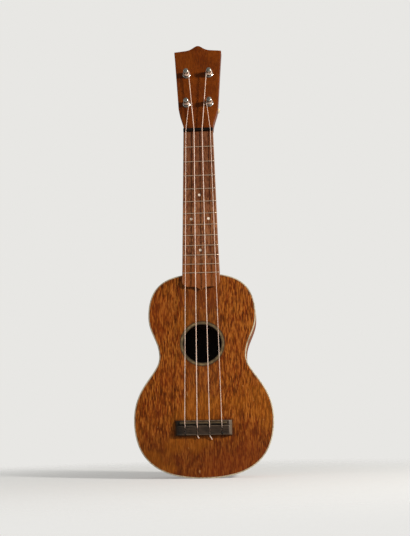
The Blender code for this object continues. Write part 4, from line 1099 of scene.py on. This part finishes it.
def floor_paint():
    """White paint, lifted a little where it is seen, and clear past a metre from the instrument."""
    finish, tree, shader = new_finish("floor_paint", 0.85, specular=0.2)
    shader.inputs["Base Color"].default_value = srgb(214, 213, 210)
    shader.inputs["Emission Color"].default_value = GROUND
    seen = sums(tree, "MAXIMUM", ray(tree, "Is Camera Ray"), ray(tree, "Is Glossy Ray"))
    feed(tree, shader.inputs["Emission Strength"], sums(tree, "MULTIPLY", seen, 0.36))
    size = tree.nodes.new("ShaderNodeVectorMath")
    size.operation = "LENGTH"
    tree.links.new(places(tree), size.inputs[0])
    clear = tree.nodes.new("ShaderNodeBsdfTransparent")
    both = tree.nodes.new("ShaderNodeMixShader")
    feed(tree, both.inputs[0], between(tree, size.outputs["Value"], 0.12, 0.62))
    tree.links.new(shader.outputs[0], both.inputs[1])
    tree.links.new(clear.outputs[0], both.inputs[2])
    tree.links.new(both.outputs[0], tree.nodes["Material Output"].inputs["Surface"])
    return finish


def floor():
    """A flat disc, just under the tail."""
    turn = np.linspace(0, 2 * np.pi, 97)[:-1]
    mesh = bpy.data.meshes.new("floor")
    ring = np.stack([np.cos(turn), np.sin(turn), np.full_like(turn, -0.2 * MM)], -1)
    mesh.from_pydata(ring.tolist(), [], [list(range(len(turn)))])
    mesh.materials.append(floor_paint())
    made = bpy.data.objects.new("floor", mesh)
    bpy.context.scene.collection.objects.link(made)


floor()


# The light: an even pale surround, one soft lamp from the right, level with the body, and a weak one opposite.
def surround():
    """The world: even light on the object, a pale ground where the camera sees it, and for reflections a ground
    that is pale towards the key lamp and darker on the other side."""
    world = bpy.data.worlds.new("surround")
    bpy.context.scene.world = world
    world.use_nodes = True
    tree = world.node_tree
    ground = tree.nodes["Background"]
    ground.inputs["Color"].default_value = GROUND
    split = tree.nodes.new("ShaderNodeSeparateXYZ")
    tree.links.new(tree.nodes.new("ShaderNodeTexCoord").outputs["Generated"], split.inputs[0])
    lit_side = sums(tree, "MULTIPLY_ADD", between(tree, split.outputs[0], -0.35, 0.75), 0.85, 0.15)
    mirrored = sums(tree, "MULTIPLY", ray(tree, "Is Glossy Ray"), lit_side)
    seen = sums(tree, "MAXIMUM", ray(tree, "Is Camera Ray"), ray(tree, "Is Transmission Ray"))
    feed(tree, ground.inputs["Strength"], sums(tree, "MAXIMUM", sums(tree, "MAXIMUM", seen, mirrored), 0.24))


surround()


def lamp(name, place, aim, size, power, colour):
    """A square soft lamp at a place, turned to face its aim."""
    light = bpy.data.lights.new(name, "AREA")
    light.size = size
    light.energy = power
    light.color = colour
    made = bpy.data.objects.new(name, light)
    bpy.context.scene.collection.objects.link(made)
    away = np.array(place, dtype=float) - np.array(aim, dtype=float)
    away /= np.linalg.norm(away)
    side = np.cross((0, 0, 1), away)
    side /= np.linalg.norm(side)
    up = np.cross(away, side)
    made.matrix_world = Matrix([(*row, spot) for row, spot in zip(np.stack([side, up, away], 1), place)] + [(0, 0, 0, 1)])


lamp("key_lamp", (1.25, -0.95, 0.7), (0, 0, 0.25), 0.24, 31, (1.0, 0.98, 0.95))
lamp("fill_lamp", (-1.4, -1.2, 0.9), (0, 0, 0.2), 1.3, 3.5, (0.95, 0.97, 1.0))


# The camera, where the photographer's stood: low, a little to the right, looking slightly up and to the left.
def camera():
    """Its turn is built from yaw, pitch and roll; its lens from the picture's height in millimetres of film."""
    yaw, pitch, roll = 0.06303, 0.16578, -0.01931
    place = (74.29 * MM, FACE_Y - 1100 * MM, 58.78 * MM)
    ahead = np.array((-math.sin(yaw) * math.cos(pitch), math.cos(yaw) * math.cos(pitch), math.sin(pitch)))
    right = np.array((math.cos(yaw), math.sin(yaw), 0.0))
    up = np.cross(right, ahead)
    level = math.cos(roll) * right + math.sin(roll) * up
    high = -math.sin(roll) * right + math.cos(roll) * up
    lens = bpy.data.cameras.new("camera")
    lens.sensor_fit = "VERTICAL"
    lens.sensor_height = 24.0
    lens.lens = 945.38 / 536 * 24.0
    lens.clip_start = 0.01
    made = bpy.data.objects.new("camera", lens)
    bpy.context.scene.collection.objects.link(made)
    turned_to = np.stack([level, high, -ahead], axis=1)
    made.matrix_world = Matrix([(*row, spot) for row, spot in zip(turned_to, place)] + [(0, 0, 0, 1)])
    bpy.context.scene.camera = made
    bpy.context.scene.view_settings.view_transform = "Standard"


camera()
